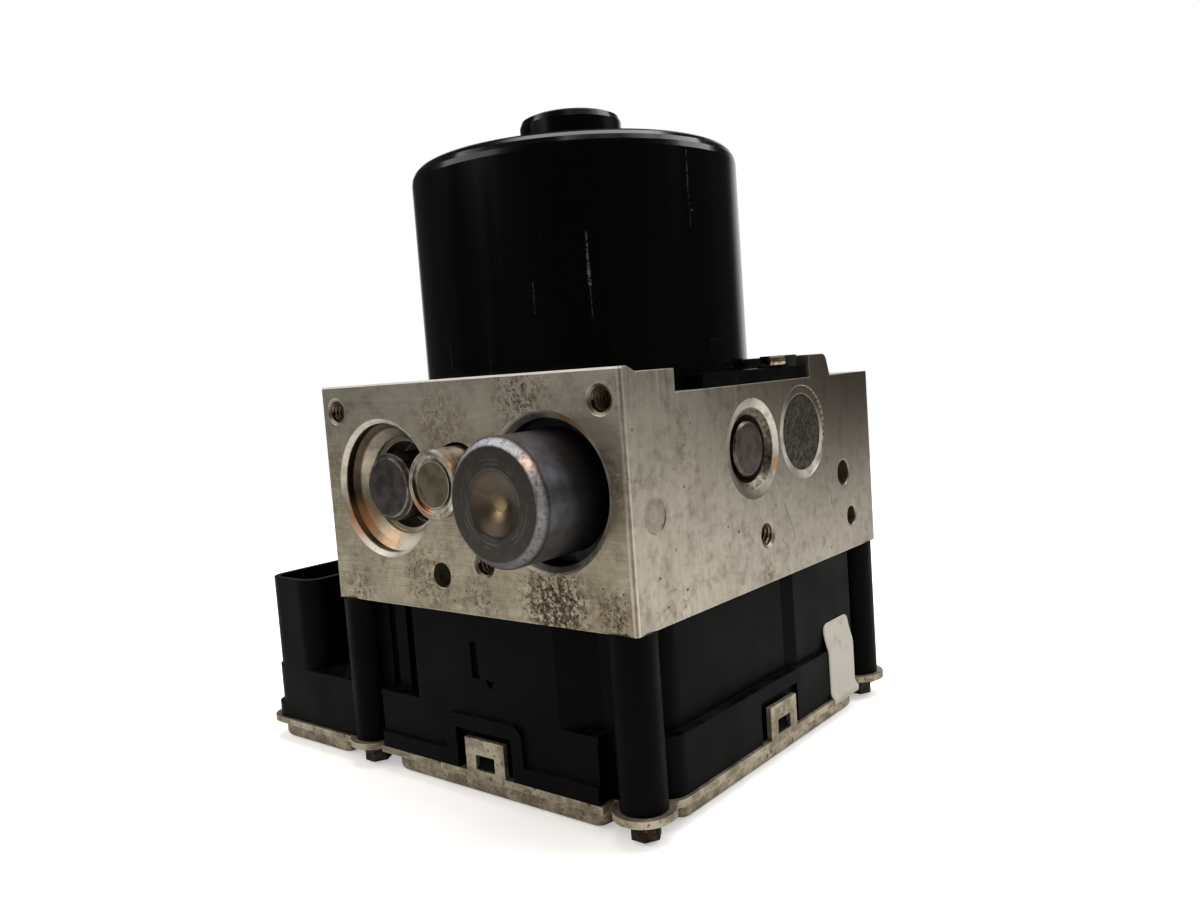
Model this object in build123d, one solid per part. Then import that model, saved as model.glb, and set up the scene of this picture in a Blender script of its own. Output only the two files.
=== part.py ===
from build123d import *
import math
import os

# Hydraulic modulator of an anti-lock brake system: an aluminium valve block with a
# return-pump motor on top and an electronic control unit underneath.
# Millimetres. The origin is where the motor's axis meets the underside of the cover.
# +X runs to the right along the face with the accumulators, +Y to the back, +Z up.

# Valve block
block_width = 93.0
front_margin = 7.25
back_margin = 21.25
motor_margin = 6.75
block_height = 52.0
lip_land = 2.0
lip_slope = 2.7
lip_drop = 1.2
lip_back = -29.4
seat_depth = 6.0
seat_back = 28.5
ridge_drop = 0.5
ridge_width = 8.9
ridge_foot = 2.0
ridge_radius = 2.5
block_edge = 0.5

# Clearances shared by several pieces
fit_gap = 0.05
part_gap = 0.3
spring_end_gap = 0.1
small_edge = 0.4

# Motor
motor_pocket_gap = 0.75
can_wall = 2.0
can_height = 53.4
can_shoulder = 4.0
can_dome = 1.0
step_radius = 17.0
step_slope = 1.0
step_rise = 0.7
boss_radius = 12.5
boss_height = 9.4
boss_edge = 2.0
boss_foot = 1.5
flange_thickness = 3.1
flange_inset = 0.5
flange_front = -27.7
flange_notch_long = 9.5
flange_notch_deep = 4.0
spigot_radius = 15.9
spigot_depth = 4.3

# Motor internals
shaft_radius = 4.0
shaft_end_gap = 0.5
bush_radius = 7.0
bush_length = 5.5
top_bush_length = 6.0
top_bush_headroom = 1.1
bearing_radius = 11.0
bearing_lip = 9.0
bearing_lip_height = 0.7
bearing_recess = 0.4
air_gap = 0.85
core_rise = 10.0
core_length = 23.0
slot_count = 12
slot_width = 4.4
slot_inner = 14.0
slot_rim = 4.1
slot_mouth = 2.0
winding_gap = 0.2
end_turn_height = 4.5
end_turn_inner = 12.5
magnet_thickness = 6.2
magnet_overhang = 3.0
magnet_count = 4
magnet_angle = 74.0
glue_gap = 0.1
commutator_radius = 10.0
commutator_length = 9.0
brush_length = 9.5
brush_width = 6.0
brush_height = 5.0
brush_rise = 4.5
brush_gap = 0.1
brush_box_wall = 1.4
brush_box_inner = 12.0
brush_box_outer = 28.0
brush_spring_outer = 2.0
brush_spring_inner = 1.3
brush_plate_rise = 2.9
brush_plate_thickness = 3.0
brush_plate_bore = 13.0
brush_plate_foot = 3.0

# Pump
pump_depth = 14.6
pump_bore = 7.75
pump_seat = 16.0
pump_window_gap = 1.0
pump_face_ring = 11.4
pump_face_land = 2.05
pump_face_drop = 0.55
pump_mouth_drop = 1.7
eccentric_radius = 7.0
eccentricity = 1.2
eccentric_length = 10.0
ring_wall = 3.95
ring_height = 9.0
cavity_radius = 14.0
cavity_floor = 1.0
piston_radius = 4.0
piston_slide_gap = 0.02
piston_tip = 1.2
piston_nose = 2.0
piston_nose_length = 2.0
pump_plug_depth = 10.5
pump_plug_head = 6.25
pump_plug_recess = 1.2
pump_plug_shoulder = 3.4
spring_wire = 0.6
spring_gap = 0.3
cup_spring_wire = 1.1
post_spring_wire = 0.8
spring_turns = 5
pump_spring_turns = 4
pump_spring_room = 8.0

# Accumulators and the bores of the front face
accumulator_share = 0.55
accumulator_z = 70.0
mouth_spacing = 0.2
mouth_bevel = 1.4
mouth_land = 1.7
cup_seat_depth = 7.0
cup_seat_width = 2.8
accumulator_end = -14.0
accumulator_clearance = 0.05
cup_overlap = 0.5
cup_reach = 15.1
cup_edge = 1.6
cup_wall = 1.6
cup_flange = 1.6
cup_flange_gap = 0.1
dimple_inset = 6.7
dimple_rim = 0.8
dimple_lip = 0.2
dimple_depth = 2.0
dimple_flat = 1.8
snap_ring_thickness = 1.2
snap_ring_gap = 6.0
accumulator_piston_length = 10.0
accumulator_piston_wall = 2.4
accumulator_piston_edge = 0.5
small_mouth_land = 1.0
small_wall_depth = 3.0
small_cone_depth = 6.0
small_cone_width = 3.7
small_step_depth = 7.2
small_step_width = 1.1
post_side_gap = 2.5
post_recess = 1.1
post_edge = 1.0
post_base_depth = 13.5
post_base_height = 4.0
post_wall = 1.8
post_roof = 5.4
small_piston_length = 8.0
middle_height = 72.3
middle_bore = 8.4
middle_bore_depth = 9.0
middle_channel = 6.5
middle_radius = 7.6
middle_reach = 7.7
middle_rim = 1.4
middle_groove = 1.1
middle_groove_depth = 1.0
middle_disc_drop = 0.3
middle_tail = 6.0
m6_drill = 2.5
m6_mouth = 3.25
m6_depth = 12.0
front_pair_inset = 5.4
front_pair_z = 88.4
front_low_x = 6.0
front_low_z = 54.2
blind_x = -8.0
blind_z = 50.7
blind_radius = 2.85
blind_depth = 8.0
hole_bevel = 0.3
countersink_angle = 30.0
drill_point_angle = 31.0

# Right and left faces
side_plug_y = 23.6
side_plug_drop = 13.0
side_plug_radius = 9.2
side_plug_thickness = 7.0
side_bore_depth = 20.0
side_bore_point = 3.0
stake_ring = 11.3
stake_depth = 0.3
side_m6_y = 4.2
side_m6_z = 53.7
pin_hole_y = 44.4
pin_hole_z = 63.0
pin_hole_radius = 3.2
pin_hole_depth = 6.5
small_hole_y = 48.0
small_hole_z = 51.2
small_hole_radius = 2.5
tool_mark_y = -38.8
tool_mark_z = 64.8
tool_mark_radius = 3.55
tool_mark_depth = 0.15

# Brake line ports in the back face
wheel_port_x = 30.0
wheel_port_low = 57.0
wheel_port_high = 79.0
wheel_port_drill = 4.5
wheel_port_mouth = 5.3
master_port_x = 10.5
master_port_z = 68.0
master_port_drill = 5.5
master_port_mouth = 6.3
port_depth = 12.0

# Solenoid valves, with depths counted upwards from the block's underside
valve_columns = 4
valve_share = 0.215
row_extra = 0.8
valve_seat_radius = 6.0
valve_seat_depth = 7.5
valve_nozzle_radius = 4.5
valve_nozzle_gap = 1.0
valve_bore_depth = 19.5
valve_orifice = 0.7
valve_rod_bore = 1.4
valve_rod_depth = 15.5
valve_hollow_depth = 1.5
valve_stroke = 0.35
valve_spring_outer = 2.2
valve_spring_inner = 1.5
dome_radius = 3.5
dome_wall = 0.7
dome_reach = 1.0
plunger_gap = 0.08
plunger_low_gap = 0.4
plunger_length = 17.5
plunger_rod = 0.9
coil_length = 18.0
coil_deck_gap = 1.0
coil_recess = 0.2
bobbin_wall = 0.9
bobbin_flange = 1.0
yoke_gap = 0.2
yoke_wall = 0.9
yoke_spacing = 1.4
yoke_side_gap = 0.2

# Motor feed through the block
feed_radius = 3.4
feed_hole_gap = 0.3
feed_reach = 6.5
feed_pin_thickness = 0.8
feed_pin_width = 1.6
feed_pin_spacing = 2.6
feed_pin_reach = 1.5

# Control unit housing
housing_height = 36.0
housing_side_inset = 0.3
housing_end_inset = 0.5
housing_wall = 2.2
ledge_height = 19.2
ledge_set_back = 2.5
pad_set_back = 1.3
pad_start = 13.0
pad_slope = 4.0
deck_thickness = 2.5
notch_width = 12.4
near_notch_depth = 8.0
far_notch_depth = 12.0
corner_rounding = 5.0
column_side_inset = 4.5
column_near_inset = 4.0
column_far_inset = 4.5
column_radius = 5.0
web_size = 9.0
pocket_depth = 4.5
pocket_floor = 20.5
left_pocket_inner = -20.0
right_pocket_inner = 23.9
pocket_outer = 34.0
pocket_rib_outer = -30.0
pocket_rib_width = 3.9
pocket_rib_proud = 1.5
front_panel_depth = 6.0
lip_height = 3.8
lip_proud = 0.8
band_left = -10.6
band_right = 13.2
band_top = 19.2
band_width = 3.2
band_corner = 3.0
clip_recess = 1.0
hook_reach = 1.4
slot_x = -0.1
slot_width_front = 2.4
slot_low = 27.9
slot_high = 36.3
slot_depth_front = 0.8
arrow_x = 4.2
arrow_size = 2.8
arrow_height = 2.0
dome_hole_gap = 0.5
seal_side_inset = 9.2
seal_front_inset = 9.7
seal_corner = 8.0
seal_width = 1.6
seal_depth = 1.2

# Connector
box_reach = 33.8
box_length = 71.5
box_top = 21.0
box_corner = 5.0
box_join = 10.0
box_lip = 2.0
shroud_inset = 0.5
shroud_width = 19.5
shroud_back_inset = 3.0
shroud_rim = 44.9
shroud_wall = 1.6
shroud_corner = 5.5
contact_size = 1.0
contact_pitch = 5.0
contact_rows = 2
contact_row_spacing = 6.0
contact_count = 9
contact_start = 12.0
contact_high = 34.0
blade_count = 2
blade_pitch = 5.0
blade_inset = 6.0
blade_width = 6.0
blade_thickness = 1.2
blade_high = 36.0
contact_gap = 0.05

# Circuit board
board_low = 12.0
board_thickness = 1.6
board_gap = 2.0
post_size = 5.0
board_post_x = 22.0
board_post_near_inset = 12.5
board_post_far_inset = 8.5
post_root = 0.5
coil_pin_size = 0.8
coil_pin_inset = 1.8

# Cover
cover_thickness = 1.5
pan_depth = 5.0
flange_overhang = 0.9
pan_inset = 1.4
pan_edge = 2.0
pan_corner = 3.0
ear_radius = 6.6
ear_web = 10.0
pan_ear_clearance = 9.6
clip_width = 12.0
clip_top = 14.2
clip_thickness = 1.2
clip_window_width = 5.9
clip_window_low = 7.1
clip_window_high = 10.6
front_clip_x = 1.5
side_clip_y = 5.5
side_recess_margin = 2.5
side_recess_top = 16.0
screw_radius = 2.0
screw_hole_gap = 0.4
screw_washer = 4.3
screw_washer_thickness = 1.2
screw_head_height = 4.4
screw_hex = 3.3
screw_engagement = 10.0
screw_spare = 1.0

# Motor fasteners
motor_screw_inset = 5.1
motor_screw_y = 22.6
motor_screw_radius = 2.5
motor_screw_hole_gap = 0.2
motor_screw_head = 4.4
motor_screw_head_height = 2.7
motor_screw_length = 5.8
motor_screw_spare = 0.4
tab_width = 7.0
tab_thickness = 0.8
tab_height = 2.6
tab_foot = 3.2
tab_bend = 1.0

UP = (Align.CENTER, Align.CENTER, Align.MIN)

# Heights that follow from the sizes above
housing_bottom = pan_depth + cover_thickness
block_bottom = housing_bottom + housing_height
block_top = block_bottom + block_height
seat_height = block_top - seat_depth
ridge_top = block_top - ridge_drop
plate_top = seat_height + flange_thickness
can_top = plate_top + can_height
can_crown = can_top + can_dome + step_rise
boss_top = can_crown + boss_height
spigot_low = seat_height - spigot_depth
pump_height = seat_height - pump_depth
side_plug_z = seat_height - side_plug_drop
bearing_low = spigot_low + bearing_lip_height
bearing_high = plate_top - bearing_recess
brush_plate_low = plate_top + brush_plate_rise
brush_plate_high = brush_plate_low + brush_plate_thickness
brush_middle = brush_plate_high + brush_rise
core_low = brush_middle + core_rise
core_high = core_low + core_length
valve_bore_top = block_bottom + valve_bore_depth
cavity_low = valve_bore_top + cavity_floor
bush_low = cavity_low - bush_length
shaft_low = bush_low + shaft_end_gap
top_bush_high = boss_top - can_wall - top_bush_headroom
shaft_high = top_bush_high - shaft_end_gap
coil_high = block_bottom - deck_thickness - coil_deck_gap
coil_low = coil_high - coil_length
dome_low = coil_low - dome_reach
valve_hollow_top = block_bottom + valve_hollow_depth
valve_seat_top = block_bottom + valve_seat_depth
valve_rod_top = block_bottom + valve_rod_depth
feed_low = block_bottom - feed_reach
feed_high = (brush_plate_low + brush_plate_high) / 2
feed_pin_high = brush_plate_high + feed_pin_reach
flange_low = pan_depth

# Sizes and places in plan that follow from the block's width
half_width = block_width / 2
motor_radius = half_width - motor_margin
block_front = -(motor_radius + front_margin)
block_back = motor_radius + back_margin
flange_half = half_width - flange_inset
core_radius = motor_radius - can_wall - glue_gap - magnet_thickness - air_gap
slot_outer = core_radius - slot_rim
accumulator_x = accumulator_share * half_width
mouth_radius = accumulator_x - middle_bore - mouth_spacing
seat_radius = mouth_radius - mouth_land
accumulator_bore = seat_radius - cup_seat_width
cup_radius = accumulator_bore + cup_overlap
dimple_radius = cup_radius - dimple_inset
small_mouth_radius = seat_radius + small_mouth_land
small_step_radius = seat_radius - small_cone_width
small_bore = small_step_radius - small_step_width
post_radius = small_bore - post_side_gap
front_pair_spacing = 2 * (half_width - front_pair_inset)

# Pump, housing and valves in plan
ring_radius = eccentric_radius + fit_gap + ring_wall
piston_start = ring_radius + eccentricity + part_gap
pump_plug_inner = half_width - pump_plug_depth
piston_length = pump_plug_inner - pump_spring_room - piston_start
housing_half_width = half_width - housing_side_inset
housing_front = block_front + housing_end_inset
housing_back = block_back - housing_end_inset
box_back = housing_front + box_length
box_left = -housing_half_width - box_reach
box_lip_left = box_left - box_lip
shroud_left = box_left + shroud_inset
shroud_right = shroud_left + shroud_width
shroud_back = box_back - shroud_back_inset
shroud_middle = (shroud_left + shroud_right) / 2
column_hole = screw_radius + screw_hole_gap
columns = [(x, y) for y in (block_front + column_near_inset, block_back - column_far_inset)
           for x in (column_side_inset - half_width, half_width - column_side_inset)]
motor_screw_x = half_width - motor_screw_inset
motor_screw_places = [(motor_screw_x, motor_screw_y), (-motor_screw_x, -motor_screw_y)]
valve_pitch = valve_share * block_width
yoke_radius = (valve_pitch - yoke_spacing) / 2
bobbin_radius = yoke_radius - yoke_wall - yoke_gap
bobbin_bore = dome_radius + part_gap
coil_pin_offset = bobbin_radius - coil_pin_inset
hollow_back = housing_back - far_notch_depth - housing_wall - ledge_set_back
outlet_row = hollow_back - yoke_side_gap - yoke_radius
inlet_row = outlet_row - valve_pitch - row_extra
feed_y = (inlet_row + outlet_row) / 2
valve_x = [valve_pitch * (i - (valve_columns - 1) / 2) for i in range(valve_columns)]
valve_places = [(x, y) for y in (inlet_row, outlet_row) for x in valve_x]


def disc(radius, low, high, x=0.0, y=0.0):
    """Upright round bar between two heights."""
    return Pos(x, y, low) * Cylinder(radius, high - low, align=UP)


def ring(outer, inner, low, high, x=0.0, y=0.0):
    """Upright tube between two heights."""
    return disc(outer, low, high, x, y) - disc(inner, low, high, x, y)


def block_between(x0, x1, y0, y1, z0, z1):
    """Box given by its limits."""
    middle = Pos((x0 + x1) / 2, (y0 + y1) / 2, (z0 + z1) / 2)
    return middle * Box(abs(x1 - x0), abs(y1 - y0), abs(z1 - z0))


def turned(points):
    """Solid turned about Z from (radius, height) points."""
    outline = Polyline(*[(r, 0, h) for r, h in points], close=True)
    return revolve(make_face(outline), Axis.Z)


def front_place(x, z):
    """Frame on the front face whose Z points out of the block."""
    return Location((x, block_front, z), (90, 0, 0))


def back_place(x, z):
    """Frame on the back face whose Z points out of the block."""
    return Location((x, block_back, z), (-90, 0, 0))


def side_place(side, y, z):
    """Frame on the right (+1) or left (-1) face whose Z points out of the block."""
    return Location((side * half_width, y, z), (0, side * 90, 0))


def drilled(radius, mouth, depth):
    """Cutter for a countersunk blind hole that ends in a drill point."""
    sink = (mouth - radius) * math.tan(math.radians(countersink_angle))
    return turned([(0, 1), (mouth, 1), (mouth, 0), (radius, -sink), (radius, -depth),
                   (0, -depth - radius * math.tan(math.radians(drill_point_angle)))])


def coil_spring(radius, wire, low, high, turns):
    """Helical compression spring about Z that fills the room between two seats."""
    length = high - low - 2 * (wire + spring_end_gap)
    path = Pos(0, 0, low + wire + spring_end_gap) * Helix(length / turns, length, radius)
    section = Plane(origin=path @ 0, z_dir=path % 0) * Circle(wire)
    return sweep(section, path=path, is_frenet=True)


def block_profile():
    """Side view of the block: front lip, motor seat and the ridge behind the motor."""
    return Polyline(
        (0, block_front, block_bottom), (0, block_front, block_top),
        (0, block_front + lip_land, block_top),
        (0, block_front + lip_land + lip_slope, block_top - lip_drop),
        (0, lip_back, block_top - lip_drop), (0, lip_back, seat_height),
        (0, seat_back, seat_height), (0, seat_back, ridge_top),
        (0, seat_back + ridge_width, ridge_top),
        (0, seat_back + ridge_width + ridge_foot, seat_height),
        (0, block_back, seat_height), (0, block_back, block_bottom), close=True)


def motor_cavity():
    """Stepped bore under the motor for the bearing spigot, the eccentric and the shaft end."""
    pocket = disc(motor_radius + motor_pocket_gap, seat_height, block_top + 1)
    spigot = disc(spigot_radius + fit_gap, spigot_low - part_gap, seat_height)
    cavity = disc(cavity_radius, cavity_low, seat_height)
    return pocket + spigot + cavity + disc(bush_radius, bush_low, cavity_low)


def cup_bore():
    """Cutter for the accumulator bore that the cup closes."""
    depth = accumulator_end - block_front
    return front_place(accumulator_x, accumulator_z) * turned([
        (0, 1), (mouth_radius, 1), (mouth_radius, 0), (seat_radius, -mouth_bevel),
        (seat_radius, -cup_seat_depth), (accumulator_bore, -cup_seat_depth),
        (accumulator_bore, -depth), (0, -depth)])


def post_bore():
    """Cutter for the stepped accumulator bore with the tapered floor."""
    depth = accumulator_end - block_front
    bevel = small_mouth_radius - seat_radius
    return front_place(-accumulator_x, accumulator_z) * turned([
        (0, 1), (small_mouth_radius, 1), (small_mouth_radius, 0), (seat_radius, -bevel),
        (seat_radius, -small_wall_depth), (small_step_radius, -small_cone_depth),
        (small_step_radius, -small_step_depth), (small_bore, -small_step_depth),
        (small_bore, -depth), (0, -depth)])


def middle_cutter():
    """Cutter for the bore of the middle plug, which opens into the eccentric's cavity."""
    reach = -cavity_radius / 2 - block_front
    return front_place(0, middle_height) * turned([
        (0, 1), (middle_bore, 1), (middle_bore, -middle_bore_depth),
        (middle_channel, -middle_bore_depth), (middle_channel, -reach), (0, -reach)])


def pump_cutter(side):
    """Cutter for a pump bore with its faced ring and the window to the eccentric."""
    seat = half_width - pump_seat
    reach = half_width - cavity_radius / 2
    window = piston_radius + pump_window_gap
    return side_place(side, 0, pump_height) * turned([
        (0, 1), (pump_face_ring, 1), (pump_face_ring, 0),
        (pump_face_ring - pump_face_land, -pump_face_drop), (pump_bore, -pump_mouth_drop),
        (pump_bore, -seat), (window, -seat),
        (window, -reach), (0, -reach)])


def side_plug_cutter():
    """Cutter for the damper chamber behind the large side plug."""
    return side_place(1, side_plug_y, side_plug_z) * turned([
        (0, 1), (stake_ring, 1), (stake_ring, -stake_depth),
        (side_plug_radius + fit_gap, -stake_depth), (side_plug_radius + fit_gap, -side_bore_depth),
        (0, -side_bore_depth - side_bore_point)])


def valve_cutter(x, y):
    """Cutter for one valve bore in the underside."""
    seat = disc(valve_seat_radius, block_bottom - 1, valve_seat_top, x, y)
    return seat + disc(valve_nozzle_radius, valve_seat_top, valve_bore_top, x, y)


def port_cutters():
    """Cutters for the four wheel ports and the two master cylinder ports."""
    wheel = drilled(wheel_port_drill, wheel_port_mouth, port_depth)
    master = drilled(master_port_drill, master_port_mouth, port_depth)
    cuts = [back_place(x, z) * wheel for x in (-wheel_port_x, wheel_port_x)
            for z in (wheel_port_low, wheel_port_high)]
    return cuts + [back_place(x, master_port_z) * master
                   for x in (-master_port_x, master_port_x)]


def threaded_cutters():
    """Cutters for the fixing threads and the plain holes of the front and side faces."""
    thread = drilled(m6_drill, m6_mouth, m6_depth)
    plain = drilled(pin_hole_radius, pin_hole_radius + hole_bevel, pin_hole_depth)
    small = drilled(small_hole_radius, small_hole_radius + hole_bevel, pin_hole_depth)
    blind = drilled(blind_radius, blind_radius + hole_bevel, blind_depth)
    cuts = [front_place(side * front_pair_spacing / 2, front_pair_z) * thread for side in (-1, 1)]
    cuts += [side_place(side, side_m6_y, side_m6_z) * thread for side in (-1, 1)]
    mark = turned([(0, 1), (tool_mark_radius, 1), (tool_mark_radius, -tool_mark_depth),
                   (0, -tool_mark_depth)])
    return cuts + [front_place(front_low_x, front_low_z) * thread,
                   front_place(blind_x, blind_z) * blind,
                   side_place(1, pin_hole_y, pin_hole_z) * plain,
                   side_place(1, small_hole_y, small_hole_z) * small,
                   side_place(1, tool_mark_y, tool_mark_z) * mark]


def fastener_cutters():
    """Cutters for the housing screws, the motor screws and the motor feed."""
    low = block_bottom - 1
    cuts = [disc(screw_radius + fit_gap, low, block_bottom + screw_engagement + screw_spare, x, y)
            for x, y in columns]
    cuts += [disc(motor_screw_radius + fit_gap, plate_top - motor_screw_length - motor_screw_spare,
                  block_top, x, y) for x, y in motor_screw_places]
    return cuts + [disc(feed_radius + feed_hole_gap, low, block_top, 0, feed_y)]


def hydraulic_block():
    """Machined aluminium block with all its bores, ports and the motor seat."""
    body = Pos(-half_width, 0, 0) * extrude(make_face(block_profile()), block_width, dir=(1, 0, 0))
    uprights = body.edges().filter_by(Axis.Z).group_by(SortBy.LENGTH)[-1]
    body = chamfer(uprights, block_edge)
    crest = [e for e in body.edges().filter_by(Axis.X)
             if abs(e.center().Z - ridge_top) < 0.01 and e.center().Y > seat_back + ridge_width / 2]
    body = fillet(crest, ridge_radius)
    cuts = [motor_cavity(), cup_bore(), post_bore(), middle_cutter(), pump_cutter(-1),
            pump_cutter(1), side_plug_cutter()]
    cuts += [valve_cutter(x, y) for x, y in valve_places]
    return body - cuts - port_cutters() - threaded_cutters() - fastener_cutters()


def accumulator_cup():
    """Drawn steel cap of the right accumulator, with a dished face and a seat flange."""
    top = cup_reach
    seat = -cup_seat_depth
    inner = cup_radius - cup_wall
    roof = top - cup_wall
    cap = turned([
        (0, top - dimple_depth), (dimple_flat, top - dimple_depth),
        (dimple_radius, top - dimple_lip), (dimple_radius + dimple_rim, top),
        (cup_radius - cup_edge, top), (cup_radius, top - cup_edge),
        (cup_radius, seat + cup_flange), (seat_radius - cup_flange_gap, seat + cup_flange),
        (seat_radius - cup_flange_gap, seat), (inner, seat), (inner, roof - cup_edge),
        (inner - cup_edge, roof), (dimple_radius + dimple_rim, roof),
        (dimple_flat, roof - dimple_depth), (0, roof - dimple_depth)])
    return front_place(accumulator_x, accumulator_z) * cap


def snap_ring():
    """Spring ring that holds the cup's flange on its seat."""
    low = cup_flange - cup_seat_depth
    body = ring(seat_radius - cup_flange_gap, cup_radius + part_gap, low, low + snap_ring_thickness)
    gap = block_between(-snap_ring_gap / 2, snap_ring_gap / 2, -seat_radius, 0,
                        low, low + snap_ring_thickness)
    return front_place(accumulator_x, accumulator_z) * (body - gap)


def accumulator_post():
    """Dark steel plug of the left accumulator, hollow at the back for its spring."""
    top = -post_recess
    base = -post_base_depth
    foot = base - post_base_height
    hollow = post_radius - post_wall
    plug = turned([
        (0, top), (post_radius - post_edge, top), (post_radius, top - post_edge),
        (post_radius, base), (small_bore - fit_gap, base), (small_bore - fit_gap, foot),
        (hollow, foot), (hollow, top - post_roof), (0, top - post_roof)])
    return front_place(-accumulator_x, accumulator_z) * plug


def hollow_piston(radius, length, x):
    """Accumulator piston: a cup that opens towards the front, at the end of its bore."""
    end = block_front - accumulator_end + part_gap
    head = end + length
    pocket = radius - accumulator_piston_wall
    floor = end + accumulator_piston_wall
    edge = accumulator_piston_edge
    body = turned([(0, end), (radius - edge, end), (radius, end + edge), (radius, head),
                   (pocket, head), (pocket, floor), (0, floor)])
    return front_place(x, accumulator_z) * body


def cup_spring():
    """Long spring between the right accumulator's piston and the cup."""
    low = block_front - accumulator_end + part_gap + accumulator_piston_wall
    high = cup_reach - cup_wall - dimple_depth
    pocket = accumulator_bore - accumulator_clearance - accumulator_piston_wall
    radius = pocket - cup_spring_wire - spring_gap
    coil = coil_spring(radius, cup_spring_wire, low, high, spring_turns)
    return front_place(accumulator_x, accumulator_z) * coil


def post_spring():
    """Short spring between the left accumulator's piston and the hollow plug."""
    low = block_front - accumulator_end + part_gap + accumulator_piston_wall
    high = -post_recess - post_roof
    radius = post_radius - post_wall - post_spring_wire - spring_gap
    coil = coil_spring(radius, post_spring_wire, low, high, spring_turns)
    return front_place(-accumulator_x, accumulator_z) * coil


def middle_plug():
    """Plated plug between the accumulators, with a raised rim round an inner disc."""
    top = middle_reach
    shoulder = -middle_bore_depth
    inner = middle_radius - middle_rim
    disc_edge = inner - middle_groove
    groove = top - middle_groove_depth
    plug = turned([
        (0, top - middle_disc_drop), (disc_edge, top - middle_disc_drop), (disc_edge, groove),
        (inner, groove), (inner, top), (middle_radius - small_edge, top),
        (middle_radius, top - small_edge),
        (middle_radius, shoulder), (middle_channel - fit_gap, shoulder),
        (middle_channel - fit_gap, shoulder - middle_tail), (0, shoulder - middle_tail)])
    return front_place(0, middle_height) * plug


def pump_plug(side):
    """Closing plug of a pump bore with a recessed head."""
    top = -pump_plug_recess
    inner = pump_plug_inner - half_width
    shoulder = inner + pump_plug_shoulder
    plug = turned([
        (0, top), (pump_plug_head - small_edge, top), (pump_plug_head, top - small_edge),
        (pump_plug_head, shoulder), (pump_bore - fit_gap, shoulder), (pump_bore - fit_gap, inner),
        (0, inner)])
    return side_place(side, 0, pump_height) * plug


def pump_sleeve(side):
    """Cylinder sleeve that a pump piston slides in."""
    low = pump_seat - half_width
    high = pump_plug_inner - half_width
    bore = piston_radius + piston_slide_gap
    sleeve = ring(pump_bore - fit_gap, bore, low, high)
    return side_place(side, 0, pump_height) * sleeve


def pump_piston(side):
    """Pump piston: a domed tip towards the eccentric's bearing and a nose for the spring."""
    low = piston_start - half_width
    high = low + piston_length
    body = turned([
        (0, low), (piston_radius - piston_tip, low), (piston_radius, low + piston_tip),
        (piston_radius, high),
        (piston_nose, high), (piston_nose, high + piston_nose_length),
        (0, high + piston_nose_length)])
    return side_place(side, 0, pump_height) * body


def pump_spring(side):
    """Return spring between a pump piston and its plug."""
    low = piston_start + piston_length - half_width
    high = pump_plug_inner - half_width
    radius = piston_radius - spring_wire - spring_gap
    coil = coil_spring(radius, spring_wire, low, high, pump_spring_turns)
    return side_place(side, 0, pump_height) * coil


def side_plug():
    """Rough closing disc of the damper chamber."""
    thick = -stake_depth - side_plug_thickness
    plug = turned([(0, -stake_depth), (side_plug_radius, -stake_depth),
                   (side_plug_radius, thick), (0, thick)])
    return side_place(1, side_plug_y, side_plug_z) * plug


def rotor_shaft():
    """Motor shaft with the eccentric that drives both pump pistons."""
    shaft = disc(shaft_radius, shaft_low, shaft_high)
    low = pump_height - eccentric_length / 2
    return shaft + disc(eccentric_radius, low, low + eccentric_length, 0, eccentricity)


def eccentric_bearing():
    """Needle bearing ring that runs on the eccentric and pushes the pistons."""
    low = pump_height - ring_height / 2
    return ring(ring_radius, eccentric_radius + fit_gap, low, low + ring_height, 0, eccentricity)


def slot_bars(width, inner, outer, low, high):
    """Ring of radial bars, one in each slot of the rotor."""
    bar = block_between(inner, outer, -width / 2, width / 2, low, high)
    return [Rot(0, 0, i * 360 / slot_count) * bar for i in range(slot_count)]


def rotor_core():
    """Laminated rotor core with its radial slots."""
    core = ring(core_radius, shaft_radius + fit_gap, core_low, core_high)
    slots = slot_bars(slot_width, slot_inner, slot_outer, core_low, core_high)
    mouths = slot_bars(slot_mouth, slot_inner, core_radius + slot_mouth, core_low, core_high)
    return core - slots - mouths


def rotor_windings():
    """Copper winding: a bundle in each slot and the end turns above and below the core."""
    gap = winding_gap
    bars = slot_bars(slot_width - 2 * gap, slot_inner + gap, slot_outer - gap,
                     core_low - gap, core_high + gap)
    below = ring(slot_outer, end_turn_inner, core_low - gap - end_turn_height, core_low - gap)
    above = ring(slot_outer, end_turn_inner, core_high + gap, core_high + gap + end_turn_height)
    return below + above + bars


def commutator():
    """Commutator drum under the rotor core."""
    low = brush_middle - commutator_length / 2
    return ring(commutator_radius, shaft_radius + fit_gap, low, low + commutator_length)


def magnets():
    """Four magnet shells inside the motor can."""
    outer = motor_radius - can_wall - glue_gap
    low = core_low - magnet_overhang
    high = core_high + magnet_overhang
    reach = 2 * outer
    spread = reach * math.tan(math.radians(magnet_angle / 2))
    wedge = make_face(Polyline((0, 0), (reach, spread), (reach, -spread), close=True))
    shell = ring(outer, outer - magnet_thickness, low, high)
    piece = shell & raised(wedge, low, high)
    return [Rot(0, 0, 45 + i * 360 / magnet_count) * piece for i in range(magnet_count)]


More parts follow.
